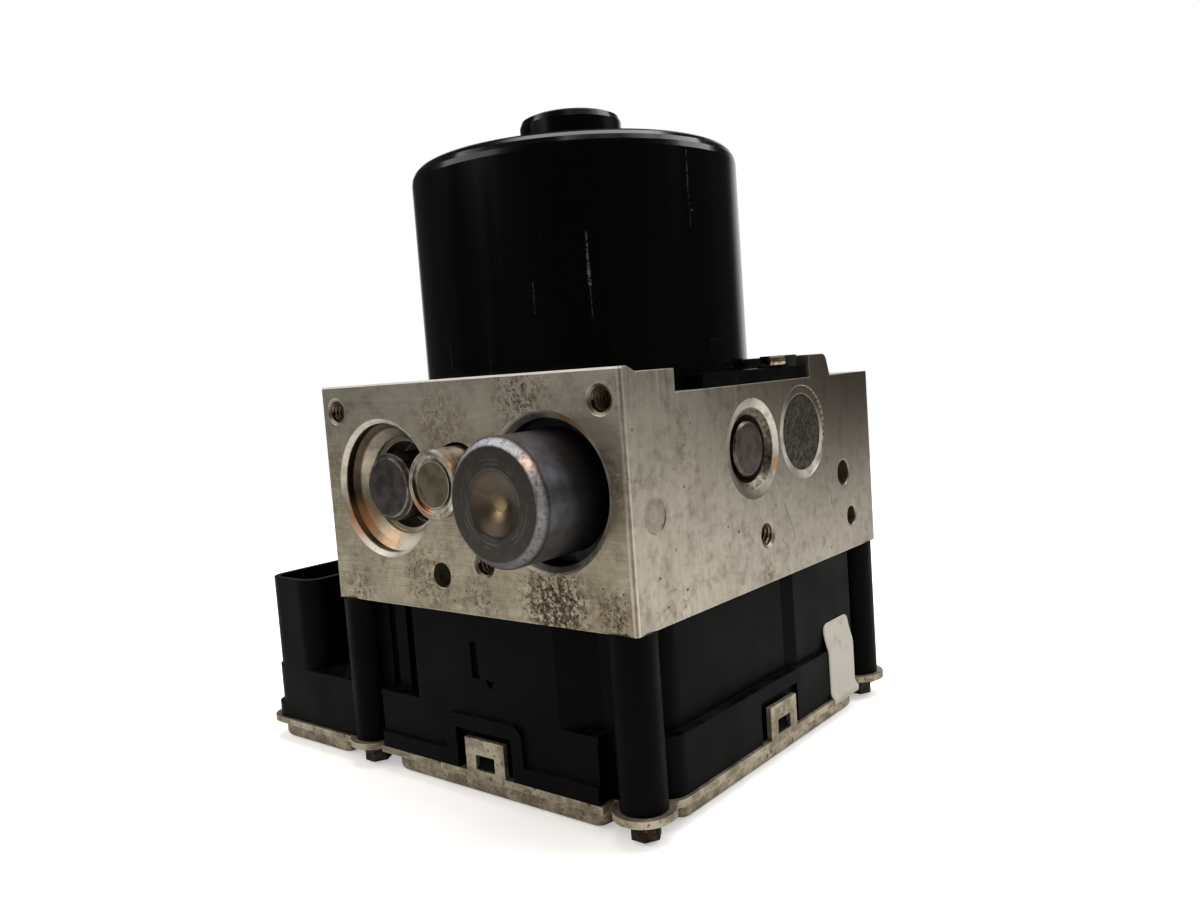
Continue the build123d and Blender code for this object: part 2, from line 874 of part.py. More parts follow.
def motor_can():
    """Drawn motor can with a stepped crown and the bearing boss."""
    wall = can_wall
    dome = can_top + can_dome
    crown = can_crown
    shoulder = [(motor_radius, plate_top), (motor_radius, can_top - can_shoulder)]
    bend = [(motor_radius - can_shoulder * (1 - math.cos(a)),
             can_top - can_shoulder * (1 - math.sin(a)))
            for a in (math.radians(18 * i) for i in range(1, 6))]
    top = [(step_radius + step_slope, dome), (step_radius, crown), (boss_radius + boss_foot, crown),
           (boss_radius, crown + boss_foot), (boss_radius, boss_top - boss_edge),
           (boss_radius - 0.3 * boss_edge, boss_top - 0.3 * boss_edge),
           (boss_radius - boss_edge, boss_top), (0, boss_top)]
    inside = [(0, boss_top - wall), (boss_radius - wall, boss_top - wall),
              (boss_radius - wall, dome - wall), (motor_radius - can_shoulder, can_top - wall),
              (motor_radius - wall, can_top - can_shoulder), (motor_radius - wall, plate_top)]
    return turned(shoulder + bend + top + inside)


def motor_flange():
    """Bearing plate of the motor that fills the seat in the block, with its spigot."""
    half = flange_half
    plate = block_between(-half, half, flange_front, seat_back - part_gap, seat_height, plate_top)
    for side in (-1, 1):
        edge = side * half
        plate -= block_between(edge, edge - side * flange_notch_deep, flange_front,
                               flange_front + flange_notch_long, seat_height, plate_top)
    plate += disc(motor_radius, seat_height, plate_top)
    plate += disc(spigot_radius, spigot_low, seat_height)
    plate -= disc(bearing_radius, bearing_low, plate_top)
    plate -= disc(bearing_lip, spigot_low, bearing_low)
    plate -= disc(feed_radius + feed_hole_gap, seat_height, plate_top, 0, feed_y)
    holes = [disc(motor_screw_radius + motor_screw_hole_gap, seat_height, plate_top, x, y)
             for x, y in motor_screw_places]
    return plate - holes


def motor_screws():
    """Black cap screws that hold the motor's plate on the block."""
    screws = []
    for x, y in motor_screw_places:
        head = disc(motor_screw_head, plate_top, plate_top + motor_screw_head_height, x, y)
        shank = disc(motor_screw_radius, plate_top - motor_screw_length, plate_top, x, y)
        screws.append(head + shank)
    return screws


def earth_tab():
    """Bent metal tab that lies on the motor's plate beside the screw and turns up."""
    middle = tab_thickness / 2
    spine = FilletPolyline((0, tab_height - middle), (0, middle), (-tab_foot, middle), radius=tab_bend)
    strip = extrude(Plane.XZ * make_face(offset(spine, middle)), tab_width)
    x1 = flange_half - middle
    y1 = motor_screw_y - motor_screw_head - part_gap
    return Pos(x1, y1, plate_top) * strip


def lower_bearing():
    """Ball bearing ring in the motor's plate."""
    return ring(bearing_radius - fit_gap, shaft_radius + fit_gap, bearing_low, bearing_high)


def shaft_end_bush():
    """Bush in the block that carries the lower end of the shaft."""
    return ring(bush_radius - fit_gap, shaft_radius + fit_gap, bush_low, cavity_low)


def top_bush():
    """Sintered bush in the boss of the can."""
    outer = boss_radius - can_wall - fit_gap
    return ring(outer, shaft_radius + fit_gap, top_bush_high - top_bush_length, top_bush_high)


def brush_box(side):
    """Outer shape and slot of one brush holder."""
    half = brush_width / 2 + brush_gap
    low = brush_middle - brush_height / 2 - brush_gap
    high = brush_middle + brush_height / 2 + brush_gap
    wall = brush_box_wall
    outer = block_between(side * brush_box_inner, side * (brush_box_outer + wall),
                          -half - wall, half + wall, brush_plate_high - wall, high + wall)
    slot = block_between(side * commutator_radius, side * brush_box_outer,
                         -half, half, low, high)
    return outer, slot


def brush_holder():
    """Moulded plate above the motor's flange with a box for each brush."""
    outer = motor_radius - can_wall - part_gap
    plate = ring(outer, brush_plate_bore, brush_plate_low, brush_plate_high)
    plate -= disc(feed_radius + feed_hole_gap, brush_plate_low, brush_plate_high, 0, feed_y)
    foot = ring(outer, outer - brush_plate_foot, plate_top, brush_plate_low)
    boxes = [brush_box(side) for side in (-1, 1)]
    body = plate + foot
    for box, _ in boxes:
        body += box
    for _, slot in boxes:
        body -= slot
    return body


def brush(side):
    """Carbon brush in its holder, just off the commutator."""
    start = commutator_radius + part_gap
    return block_between(side * start, side * (start + brush_length), -brush_width / 2,
                         brush_width / 2, brush_middle - brush_height / 2,
                         brush_middle + brush_height / 2)


def brush_springs():
    """Plain sleeve for each brush spring, between the brush and the end of its box."""
    springs = []
    start = commutator_radius + part_gap + brush_length + spring_end_gap
    length = brush_box_outer - start - spring_end_gap
    sleeve = ring(brush_spring_outer, brush_spring_inner, 0, length)
    for side in (-1, 1):
        place = Location((side * start, 0, brush_middle), (0, side * 90, 0))
        springs.append(place * sleeve)
    return springs


def valve_body(x, y):
    """Pressed-in valve with its seat, orifice and the thin dome for the plunger."""
    seat = valve_seat_radius - fit_gap
    nozzle = valve_nozzle_radius - fit_gap
    hollow = dome_radius - dome_wall
    end = valve_bore_top - valve_nozzle_gap
    body = turned([
        (0, dome_low), (dome_radius, dome_low), (dome_radius, block_bottom), (seat, block_bottom),
        (seat, valve_seat_top), (nozzle, valve_seat_top), (nozzle, end),
        (valve_orifice, end), (valve_orifice, valve_rod_top), (valve_rod_bore, valve_rod_top),
        (valve_rod_bore, valve_hollow_top), (hollow, valve_hollow_top),
        (hollow, dome_low + dome_wall), (0, dome_low + dome_wall)])
    return Pos(x, y, 0) * body


def valve_plunger(x, y, lift):
    """Armature and push rod of one valve, lifted when it rests on its seat."""
    low = dome_low + dome_wall + plunger_low_gap + lift
    radius = dome_radius - dome_wall - plunger_gap
    tip = valve_rod_top - plunger_low_gap + lift
    body = turned([(0, low), (radius, low), (radius, low + plunger_length),
                   (plunger_rod, low + plunger_length), (plunger_rod, tip), (0, tip)])
    return Pos(x, y, 0) * body


def resting_lift(y):
    """Inlet valves rest open, outlet valves rest on their seats."""
    return valve_stroke if y == outlet_row else 0


def valve_springs():
    """Plain sleeve for each valve spring, round the push rod."""
    springs = []
    armature_top = dome_low + dome_wall + plunger_low_gap + plunger_length
    high = valve_hollow_top - spring_end_gap
    for x, y in valve_places:
        low = armature_top + resting_lift(y) + spring_end_gap
        springs.append(ring(valve_spring_outer, valve_spring_inner, low, high, x, y))
    return springs


def coil_bobbins():
    """Plastic bobbin of each solenoid coil."""
    bobbins = []
    tube = bobbin_bore + bobbin_wall
    for x, y in valve_places:
        bobbin = ring(tube, bobbin_bore, coil_low, coil_high, x, y)
        bobbin += ring(bobbin_radius, bobbin_bore, coil_low, coil_low + bobbin_flange, x, y)
        bobbin += ring(bobbin_radius, bobbin_bore, coil_high - bobbin_flange, coil_high, x, y)
        bobbins.append(bobbin)
    return bobbins


def solenoid_coils():
    """Copper winding of each solenoid."""
    inner = bobbin_bore + bobbin_wall + fit_gap
    return [ring(bobbin_radius - coil_recess, inner, coil_low + bobbin_flange + fit_gap,
                 coil_high - bobbin_flange - fit_gap, x, y) for x, y in valve_places]


def coil_yokes():
    """Round steel yoke over each coil."""
    inner = yoke_radius - yoke_wall
    return [ring(yoke_radius, inner, coil_low, coil_high, x, y) for x, y in valve_places]


def coil_pins():
    """Two square pins from each coil down to the circuit board."""
    half = coil_pin_size / 2
    return [block_between(x + side * coil_pin_offset - half, x + side * coil_pin_offset + half,
                          y - half, y + half, board_low, coil_low)
            for x, y in valve_places for side in (-1, 1)]


def motor_feed():
    """Plastic tower that carries the motor's supply through the block."""
    tower = disc(feed_radius, feed_low, feed_high, 0, feed_y)
    slots = [block_between(x - feed_pin_thickness / 2 - contact_gap,
                           x + feed_pin_thickness / 2 + contact_gap,
                           feed_y - feed_pin_width / 2 - contact_gap,
                           feed_y + feed_pin_width / 2 + contact_gap, feed_low, feed_high)
             for x in (-feed_pin_spacing / 2, feed_pin_spacing / 2)]
    return tower - slots


def motor_pins():
    """Two blades from the circuit board up to the brush holder."""
    return [block_between(x - feed_pin_thickness / 2, x + feed_pin_thickness / 2,
                          feed_y - feed_pin_width / 2, feed_y + feed_pin_width / 2,
                          board_low + board_thickness, feed_pin_high)
            for x in (-feed_pin_spacing / 2, feed_pin_spacing / 2)]


def footprint(inset):
    """Outline of the housing between its corner columns, moved inwards by an inset."""
    half = housing_half_width - inset
    front = housing_front + inset
    back = housing_back - inset
    near = housing_front + near_notch_depth + inset
    far = housing_back - far_notch_depth - inset
    side = housing_half_width - notch_width - inset
    plan = make_face(Polyline(
        (-side, front), (side, front), (side, near), (half, near), (half, far), (side, far),
        (side, back), (-side, back), (-side, far), (-half, far), (-half, near), (-side, near),
        close=True))
    outer = [v for v in plan.vertices() if abs(abs(v.X) - half) < 0.01]
    return fillet(outer, corner_rounding)


def connector_footprint(left, inset):
    """Outline of the connector box, moved inwards by an inset, up to inside the housing."""
    right = -housing_half_width + box_join
    width = right - left - inset
    length = box_back - housing_front - 2 * inset
    centre = ((left + inset + right) / 2, (housing_front + box_back) / 2)
    return Pos(*centre) * RectangleRounded(width, length, box_corner - inset / 2)


def shroud_outline(inset):
    """Outline of the connector's collar, moved inwards by an inset."""
    width = shroud_right - shroud_left - 2 * inset
    length = shroud_back - housing_front - 2 * inset
    centre = Pos((shroud_left + shroud_right) / 2, (housing_front + shroud_back) / 2)
    return centre * RectangleRounded(width, length, shroud_corner - inset)


def raised(face, low, high):
    """Face extruded upwards between two heights."""
    return Pos(0, 0, low) * extrude(face, high - low)


def contact_places():
    """Places of the small contacts in the connector."""
    start = housing_front + contact_start
    rows = [shroud_middle + (i - (contact_rows - 1) / 2) * contact_row_spacing
            for i in range(contact_rows)]
    return [(x, start + i * contact_pitch) for x in rows for i in range(contact_count)]


def blade_places():
    """Places of the large supply blades at the back of the connector."""
    return [(shroud_middle, shroud_back - blade_inset - blade_pitch * i) for i in range(blade_count)]


def wall_pockets():
    """Square pocket with a rib on the left of the front wall and a wedge on the right."""
    back = housing_front + pocket_depth
    left = block_between(-pocket_outer, left_pocket_inner, housing_front, back,
                         pocket_floor, block_bottom)
    left -= block_between(pocket_rib_outer, pocket_rib_outer + pocket_rib_width,
                          back - pocket_rib_proud, back, pocket_floor, block_bottom)
    wedge = make_face(Polyline((right_pocket_inner, housing_front), (pocket_outer, housing_front),
                               (pocket_outer, back), close=True))
    return [left, raised(wedge, pocket_floor, block_bottom)]


def side_pad():
    """Part of the right wall that stands further out, with a sloping start."""
    inner = housing_half_width - ledge_set_back - corner_rounding
    near = housing_half_width - ledge_set_back
    outer = housing_half_width - pad_set_back
    end = housing_back - far_notch_depth - pad_set_back
    plan = make_face(Polyline((inner, pad_start), (near, pad_start), (outer, pad_start + pad_slope),
                              (outer, end), (inner, end), close=True))
    return raised(plan, ledge_height, block_bottom)


def housing_shell():
    """Outer walls of the housing with the set-back upper part and the connector box."""
    deck = block_bottom
    skirt = raised(footprint(0), housing_bottom, ledge_height)
    upper = raised(footprint(ledge_set_back), ledge_height, deck)
    panel = block_between(-pocket_outer, pocket_outer, housing_front,
                          housing_front + front_panel_depth, ledge_height, deck)
    for pocket in wall_pockets():
        panel -= pocket
        upper -= pocket
    box = raised(connector_footprint(box_left, 0), housing_bottom, box_top)
    collar = raised(shroud_outline(0), box_top, shroud_rim)
    webs = [block_between(x, x - math.copysign(web_size, x), y, y - math.copysign(web_size, y),
                          housing_bottom, deck) for x, y in columns]
    return skirt + upper + panel + box + collar + webs + side_pad()


def arch(left, right, low, high, front, back, corner):
    """Upright plate across the front whose two upper corners are round."""
    face = make_face(Polyline((left, low), (right, low), (right, high), (left, high), close=True))
    tops = [v for v in face.vertices() if v.Y > (low + high) / 2]
    return Location((0, back, 0), (90, 0, 0)) * extrude(fillet(tops, corner), back - front)


def housing_trim():
    """Lip along the foot of the front wall and the raised band round the clip."""
    front = housing_front - lip_proud
    inner = housing_front + housing_wall / 2
    half = housing_half_width - notch_width
    lip = block_between(-half, half, front, inner, housing_bottom, housing_bottom + lip_height)
    band = arch(band_left, band_right, housing_bottom, band_top, front, inner, band_corner)
    foot = raised(connector_footprint(box_lip_left, 0), housing_bottom,
                  housing_bottom + lip_height)
    return lip + band + foot


def housing_hollow():
    """Space inside the housing for the coils and the circuit board."""
    wall = housing_wall
    lower = raised(footprint(wall + ledge_set_back), housing_bottom, block_bottom - deck_thickness)
    front_cut = block_between(-pocket_outer - wall, pocket_outer + wall, housing_front,
                              housing_front + pocket_depth + wall, pocket_floor - wall,
                              block_bottom)
    side = raised(connector_footprint(box_left, wall), housing_bottom, box_top - wall)
    return (lower - front_cut) + side


def clip_cuts():
    """Recesses for the cover's clips in the front, right and back walls."""
    half = clip_width / 2 + side_recess_margin
    front = block_between(band_left + band_width, band_right - band_width,
                          housing_front - lip_proud, housing_front + clip_recess,
                          housing_bottom, band_top - band_width)
    right = block_between(housing_half_width - clip_recess, housing_half_width,
                          side_clip_y - half, side_clip_y + half, housing_bottom, side_recess_top)
    back = block_between(front_clip_x - half, front_clip_x + half, housing_back - clip_recess,
                         housing_back, housing_bottom, side_recess_top)
    return [front, right, back]


def clip_hooks():
    """Wedge in each recess that the window of a clip snaps over."""
    half = clip_window_width / 2 - part_gap
    low = clip_window_low + part_gap
    high = clip_window_high - part_gap
    wedge = make_face(Polyline((0, 0, low), (0, hook_reach, low), (0, 0, high), close=True))
    solid = Pos(-half, 0, 0) * extrude(wedge, 2 * half, dir=(1, 0, 0))
    front = Pos(front_clip_x, housing_front + clip_recess, 0) * Rot(0, 0, 180) * solid
    right = Pos(housing_half_width - clip_recess, side_clip_y, 0) * Rot(0, 0, -90) * solid
    back = Pos(front_clip_x, housing_back - clip_recess, 0) * solid
    return [front, right, back]


def front_marks():
    """Narrow slot and small arrow moulded into the front wall."""
    front = housing_front
    slot = block_between(slot_x - slot_width_front / 2, slot_x + slot_width_front / 2,
                         front, front + slot_depth_front, slot_low, slot_high)
    half = arrow_size / 2
    arrow = make_face(Polyline((arrow_x - half, front, slot_low), (arrow_x + half, front, slot_low),
                               (arrow_x, front, slot_low - arrow_height), close=True))
    return [slot, extrude(arrow, slot_depth_front, dir=(0, 1, 0))]


def deck_cuts():
    """Holes in the deck for the valve domes, the motor feed and the seal's groove."""
    top = block_bottom
    low = top - deck_thickness - 1
    cuts = [disc(dome_radius + dome_hole_gap, low, top, x, y) for x, y in valve_places]
    cuts.append(disc(feed_radius + feed_hole_gap, low, top, 0, feed_y))
    cuts.append(seal_ring(0))
    return cuts


def seal_ring(gap):
    """Seal that lies in the deck's groove, with a gap to the groove's walls."""
    width = 2 * (housing_half_width - seal_side_inset)
    front = housing_front + seal_front_inset
    back = housing_back - far_notch_depth
    centre = Pos(0, (front + back) / 2, 0)
    bite = seal_width - gap
    outer = centre * RectangleRounded(width - 2 * gap, back - front - 2 * gap, seal_corner)
    inner = centre * RectangleRounded(width - 2 * bite, back - front - 2 * bite, seal_corner - bite)
    return raised(outer - inner, block_bottom - seal_depth, block_bottom)


def board_posts():
    """Posts under the deck that the circuit board is fixed to."""
    top = block_bottom - deck_thickness
    places = [(x, y) for x in (-board_post_x, board_post_x)
              for y in (housing_front + board_post_near_inset, housing_back - board_post_far_inset)]
    return [disc(post_size / 2, board_low + board_thickness, top + post_root, x, y)
            for x, y in places]


def contact_cuts():
    """Slots for the contacts and blades in the floor of the connector."""
    low = box_top - 2 * housing_wall
    high = box_top + housing_wall
    cuts = []
    for x, y in contact_places():
        half = contact_size / 2 + contact_gap
        cuts.append(block_between(x - half, x + half, y - half, y + half, low, high))
    for x, y in blade_places():
        across = blade_width / 2 + contact_gap
        along = blade_thickness / 2 + contact_gap
        cuts.append(block_between(x - across, x + across, y - along, y + along, low, high))
    return cuts


def ecu_housing():
    """Moulded control unit housing with corner columns, clip recesses and connector."""
    body = housing_shell() + housing_trim()
    body -= housing_hollow()
    body += [disc(column_radius, housing_bottom, block_bottom, x, y) for x, y in columns]
    body -= raised(shroud_outline(shroud_wall), box_top, shroud_rim)
    body -= clip_cuts()
    body += clip_hooks()
    body -= front_marks()
    body -= deck_cuts()
    body += board_posts()
    body -= contact_cuts()
    return body - [disc(column_hole, housing_bottom, block_bottom, x, y) for x, y in columns]


def connector_contacts():
    """Small square contacts of the connector."""
    half = contact_size / 2
    low = board_low + board_thickness
    return [block_between(x - half, x + half, y - half, y + half, low, contact_high)
            for x, y in contact_places()]


def supply_blades():
    """Large flat contacts that feed the motor and the valves."""
    low = board_low + board_thickness
    return [block_between(x - blade_width / 2, x + blade_width / 2, y - blade_thickness / 2,
                          y + blade_thickness / 2, low, blade_high) for x, y in blade_places()]


def circuit_board():
    """Printed board under the coils that runs on below the connector."""
    low = board_low
    high = board_low + board_thickness
    main = raised(footprint(housing_wall + ledge_set_back + board_gap), low, high)
    wing = raised(connector_footprint(box_left, housing_wall + board_gap), low, high)
    half = coil_pin_size / 2 + contact_gap
    pins = [(x + side * coil_pin_offset, y) for x, y in valve_places for side in (-1, 1)]
    holes = [block_between(x - half, x + half, y - half, y + half, low, high) for x, y in pins]
    holes += [disc(column_radius + board_gap, low, high, x, y) for x, y in columns]
    return main + wing - holes


def cover_outline():
    """Outline of the cover's flange with a round ear at each screw."""
    over = flange_overhang
    plan = footprint(-over) + connector_footprint(box_lip_left - over, -over)
    ears = [Pos(x, y) * Circle(ear_radius) for x, y in columns]
    middle = ear_web / 2
    webs = [Pos(x - math.copysign(middle, x), y - math.copysign(middle, y)) *
            Rectangle(ear_web, ear_web) for x, y in columns]
    return plan + ears + webs


def pan_outline(inset):
    """Outline of the pressed pan, which keeps clear of the ears, moved inwards by an inset."""
    half = housing_half_width - pan_inset - inset
    front = housing_front + pan_inset + inset
    back = housing_back - pan_inset - inset
    left = box_lip_left + pan_inset + inset
    side = box_back - pan_inset - inset
    plan = make_face(Polyline((left, front), (half, front), (half, back), (-half, back),
                              (-half, side), (left, side), close=True))
    plan -= [Pos(x, y) * Circle(pan_ear_clearance + inset) for x, y in columns]
    return fillet(plan.vertices(), pan_corner)


def cover_clip():
    """Clip bent up from the flange with its square window, facing front."""
    plate = block_between(-clip_width / 2, clip_width / 2, 0, clip_thickness, flange_low, clip_top)
    window = block_between(-clip_window_width / 2, clip_window_width / 2, 0, clip_thickness,
                           clip_window_low, clip_window_high)
    return plate - window


def cover_pan():
    """Pressed aluminium cover with its pan, screw ears and bent-up clips."""
    top = housing_bottom
    pan = raised(pan_outline(0), 0, flange_low)
    pan = fillet(pan.faces().sort_by(Axis.Z)[0].edges(), pan_edge)
    body = pan + raised(cover_outline(), flange_low, top)
    body -= raised(pan_outline(cover_thickness), cover_thickness, top)
    body -= [disc(column_hole, flange_low, top, x, y) for x, y in columns]
    clip = cover_clip()
    out = flange_overhang
    front = Pos(front_clip_x, housing_front - out, 0) * clip
    right = Pos(housing_half_width + out, side_clip_y, 0) * Rot(0, 0, 90) * clip
    back = Pos(front_clip_x, housing_back + out, 0) * Rot(0, 0, 180) * clip
    return body + front + right + back


def housing_screws():
    """Long screws that hold the cover and the housing on the block."""
    screws = []
    low = flange_low
    for x, y in columns:
        washer = disc(screw_washer, low - screw_washer_thickness, low, x, y)
        hexagon = Pos(x, y, low - screw_head_height) * extrude(
            RegularPolygon(screw_hex, 6), screw_head_height)
        shank = disc(screw_radius, low, block_bottom + screw_engagement, x, y)
        screws.append(washer + hexagon + shank)
    return screws


def plungers():
    """Every valve plunger by its node's name."""
    named = {}
    for i, (x, y) in enumerate(valve_places):
        kind = "inlet" if y == inlet_row else "outlet"
        named[f"{kind}_plunger_{i % valve_columns + 1}"] = valve_plunger(x, y, resting_lift(y))
    return named


def sub_parts():
    """Every node with the solids in it."""
    nodes = {
        "hydraulic_block": hydraulic_block(),
        "accumulator_cup": accumulator_cup(),
        "cup_snap_ring": snap_ring(),
        "accumulator_post": accumulator_post(),
        "accumulator_piston_right": hollow_piston(accumulator_bore - accumulator_clearance,
                                                  accumulator_piston_length, accumulator_x),
        "accumulator_piston_left": hollow_piston(small_bore - accumulator_clearance,
                                                 small_piston_length, -accumulator_x),
        "accumulator_spring_right": cup_spring(),
        "accumulator_spring_left": post_spring(),
        "middle_plug": middle_plug(),
        "side_plug": side_plug(),
        "rotor_shaft": rotor_shaft(),
        "rotor_core": rotor_core(),
        "rotor_windings": rotor_windings(),
        "commutator": commutator(),
        "eccentric_bearing": eccentric_bearing(),
        "magnets": magnets(),
        "motor_can": motor_can(),
        "motor_flange": motor_flange(),
        "motor_screws": motor_screws(),
        "earth_tab": earth_tab(),
        "lower_bearing": lower_bearing(),
        "shaft_end_bush": shaft_end_bush(),
        "top_bush": top_bush(),
        "brush_holder": brush_holder(),
        "brush_springs": brush_springs(),
        "valve_bodies": [valve_body(x, y) for x, y in valve_places],
        "valve_springs": valve_springs(),
        "coil_bobbins": coil_bobbins(),
        "solenoid_coils": solenoid_coils(),
        "coil_yokes": coil_yokes(),
        "coil_pins": coil_pins(),
        "motor_feed": motor_feed(),
        "motor_pins": motor_pins(),
        "ecu_housing": ecu_housing(),
        "housing_seal": seal_ring(contact_gap),
        "connector_contacts": connector_contacts(),
        "supply_blades": supply_blades(),
        "circuit_board": circuit_board(),
        "cover_pan": cover_pan(),
        "housing_screws": housing_screws(),
    }
    for name, side in (("left", -1), ("right", 1)):
        nodes[f"pump_plug_{name}"] = pump_plug(side)
        nodes[f"pump_sleeve_{name}"] = pump_sleeve(side)
        nodes[f"pump_piston_{name}"] = pump_piston(side)
        nodes[f"pump_spring_{name}"] = pump_spring(side)
        nodes[f"brush_{name}"] = brush(side)
    nodes.update(plungers())
    return nodes


def main():
    """Write one STEP file for each sub-part."""
    os.makedirs("parts", exist_ok=True)
    for name, shape in sub_parts().items():
        solid = Compound(children=list(shape)) if isinstance(shape, (list, tuple)) else shape
        export_step(solid, f"parts/{name}.step")
        print(name, round(solid.volume))


main()
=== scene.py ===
"""Looks of an anti-lock brake unit: valve block, pump motor, control unit and cover."""

from __future__ import annotations

import logging
import math
from dataclasses import dataclass
from enum import Enum
from functools import cached_property
from typing import Any

import bmesh
import bpy
from mathutils import Matrix, Vector


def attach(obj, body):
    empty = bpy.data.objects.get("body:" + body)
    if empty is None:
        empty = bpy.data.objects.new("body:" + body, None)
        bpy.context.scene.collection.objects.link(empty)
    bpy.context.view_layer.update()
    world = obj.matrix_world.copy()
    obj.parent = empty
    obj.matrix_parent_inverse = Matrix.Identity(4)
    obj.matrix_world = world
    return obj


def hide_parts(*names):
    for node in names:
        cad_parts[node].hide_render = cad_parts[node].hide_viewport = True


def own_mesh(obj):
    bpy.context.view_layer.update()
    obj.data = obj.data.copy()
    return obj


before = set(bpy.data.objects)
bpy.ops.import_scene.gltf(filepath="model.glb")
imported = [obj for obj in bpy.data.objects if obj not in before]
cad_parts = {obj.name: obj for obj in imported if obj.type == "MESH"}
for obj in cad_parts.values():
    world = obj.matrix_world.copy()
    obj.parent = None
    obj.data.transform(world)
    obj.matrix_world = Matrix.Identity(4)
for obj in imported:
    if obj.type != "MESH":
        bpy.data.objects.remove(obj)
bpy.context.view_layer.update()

LOG = logging.getLogger("brake_unit")
MM = 0.001
WHITE = "#ffffff"

Colour = tuple[float, float, float, float]
Point = tuple[float, float, float]
Tree = bpy.types.NodeTree
Node = bpy.types.Node
Socket = bpy.types.NodeSocket


def linear(code: str) -> Colour:
    """Turn an sRGB hex value into a linear colour.

    Args:
        code: Six hex digits after a number sign.

    Returns:
        Linear red, green and blue, with an alpha of 1.
    """
    parts = [int(code[i:i + 2], 16) / 255 for i in (1, 3, 5)]
    r, g, b = (c / 12.92 if c <= 0.04045 else ((c + 0.055) / 1.055) ** 2.4 for c in parts)
    return (r, g, b, 1.0)


def fineness(size_mm: float) -> float:
    """Return the texture scale at which a pattern's features measure size_mm."""
    return 1.0 / (size_mm * MM)


def add_node(tree: Tree, kind: str, settings: dict[str | int, Any] | None = None,
             links: dict[str | int, Socket] | None = None) -> Node:
    """Add a node, set its properties and inputs, and link what feeds it.

    Args:
        tree: Node tree that gets the node.
        kind: Blender's name of the node type.
        settings: Properties by name, or input values by name or number.
        links: Output sockets by the name or number of the input they feed.

    Returns:
        The new node.
    """
    node = tree.nodes.new(kind)
    for key, value in (settings or {}).items():
        if isinstance(key, str) and key in node.bl_rna.properties:
            setattr(node, key, value)
        else:
            node.inputs[key].default_value = value
    for key, socket in (links or {}).items():
        tree.links.new(socket, node.inputs[key])
    return node


class Grain(Enum):
    """Direction in which a surface was worked."""

    NONE = (1.0, 1.0, 1.0)
    ALONG_X = (0.03, 1.0, 1.0)
    ALONG_Y = (1.0, 0.03, 1.0)
    ALONG_Z = (1.0, 1.0, 0.03)


@dataclass(frozen=True)
class Places:
    """Places on the valve block that its pieces and their materials share, in millimetres."""

    front: float = -47.0
    side: float = 46.5
    bore_x: float = 25.575
    bore_z: float = 70.0
    pump_z: float = 73.9
    plug_y: float = 23.6
    plug_z: float = 75.5
    thread_y: float = 4.2
    thread_z: float = 53.7
    threads: tuple[tuple[str, float, float], ...] = (
        ("left", -41.1, 88.4), ("right", 41.1, 88.4), ("low", 6.0, 54.2))

    def on_front(self, x: float, z: float) -> Point:
        """Return a point on the front face."""
        return (x, self.front, z)

    def on_side(self, y: float, z: float) -> Point:
        """Return a point on the right face."""
        return (self.side, y, z)

    @property
    def left_bore(self) -> Point:
        """Middle of the left accumulator bore's mouth."""
        return self.on_front(-self.bore_x, self.bore_z)

    @property
    def right_bore(self) -> Point:
        """Middle of the right accumulator bore's mouth."""
        return self.on_front(self.bore_x, self.bore_z)

    @property
    def pump_bore(self) -> Point:
        """Middle of the right pump bore's mouth."""
        return self.on_side(0.0, self.pump_z)

    @property
    def plug_bore(self) -> Point:
        """Middle of the mouth that the side plug closes."""
        return self.on_side(self.plug_y, self.plug_z)


PLACES = Places()


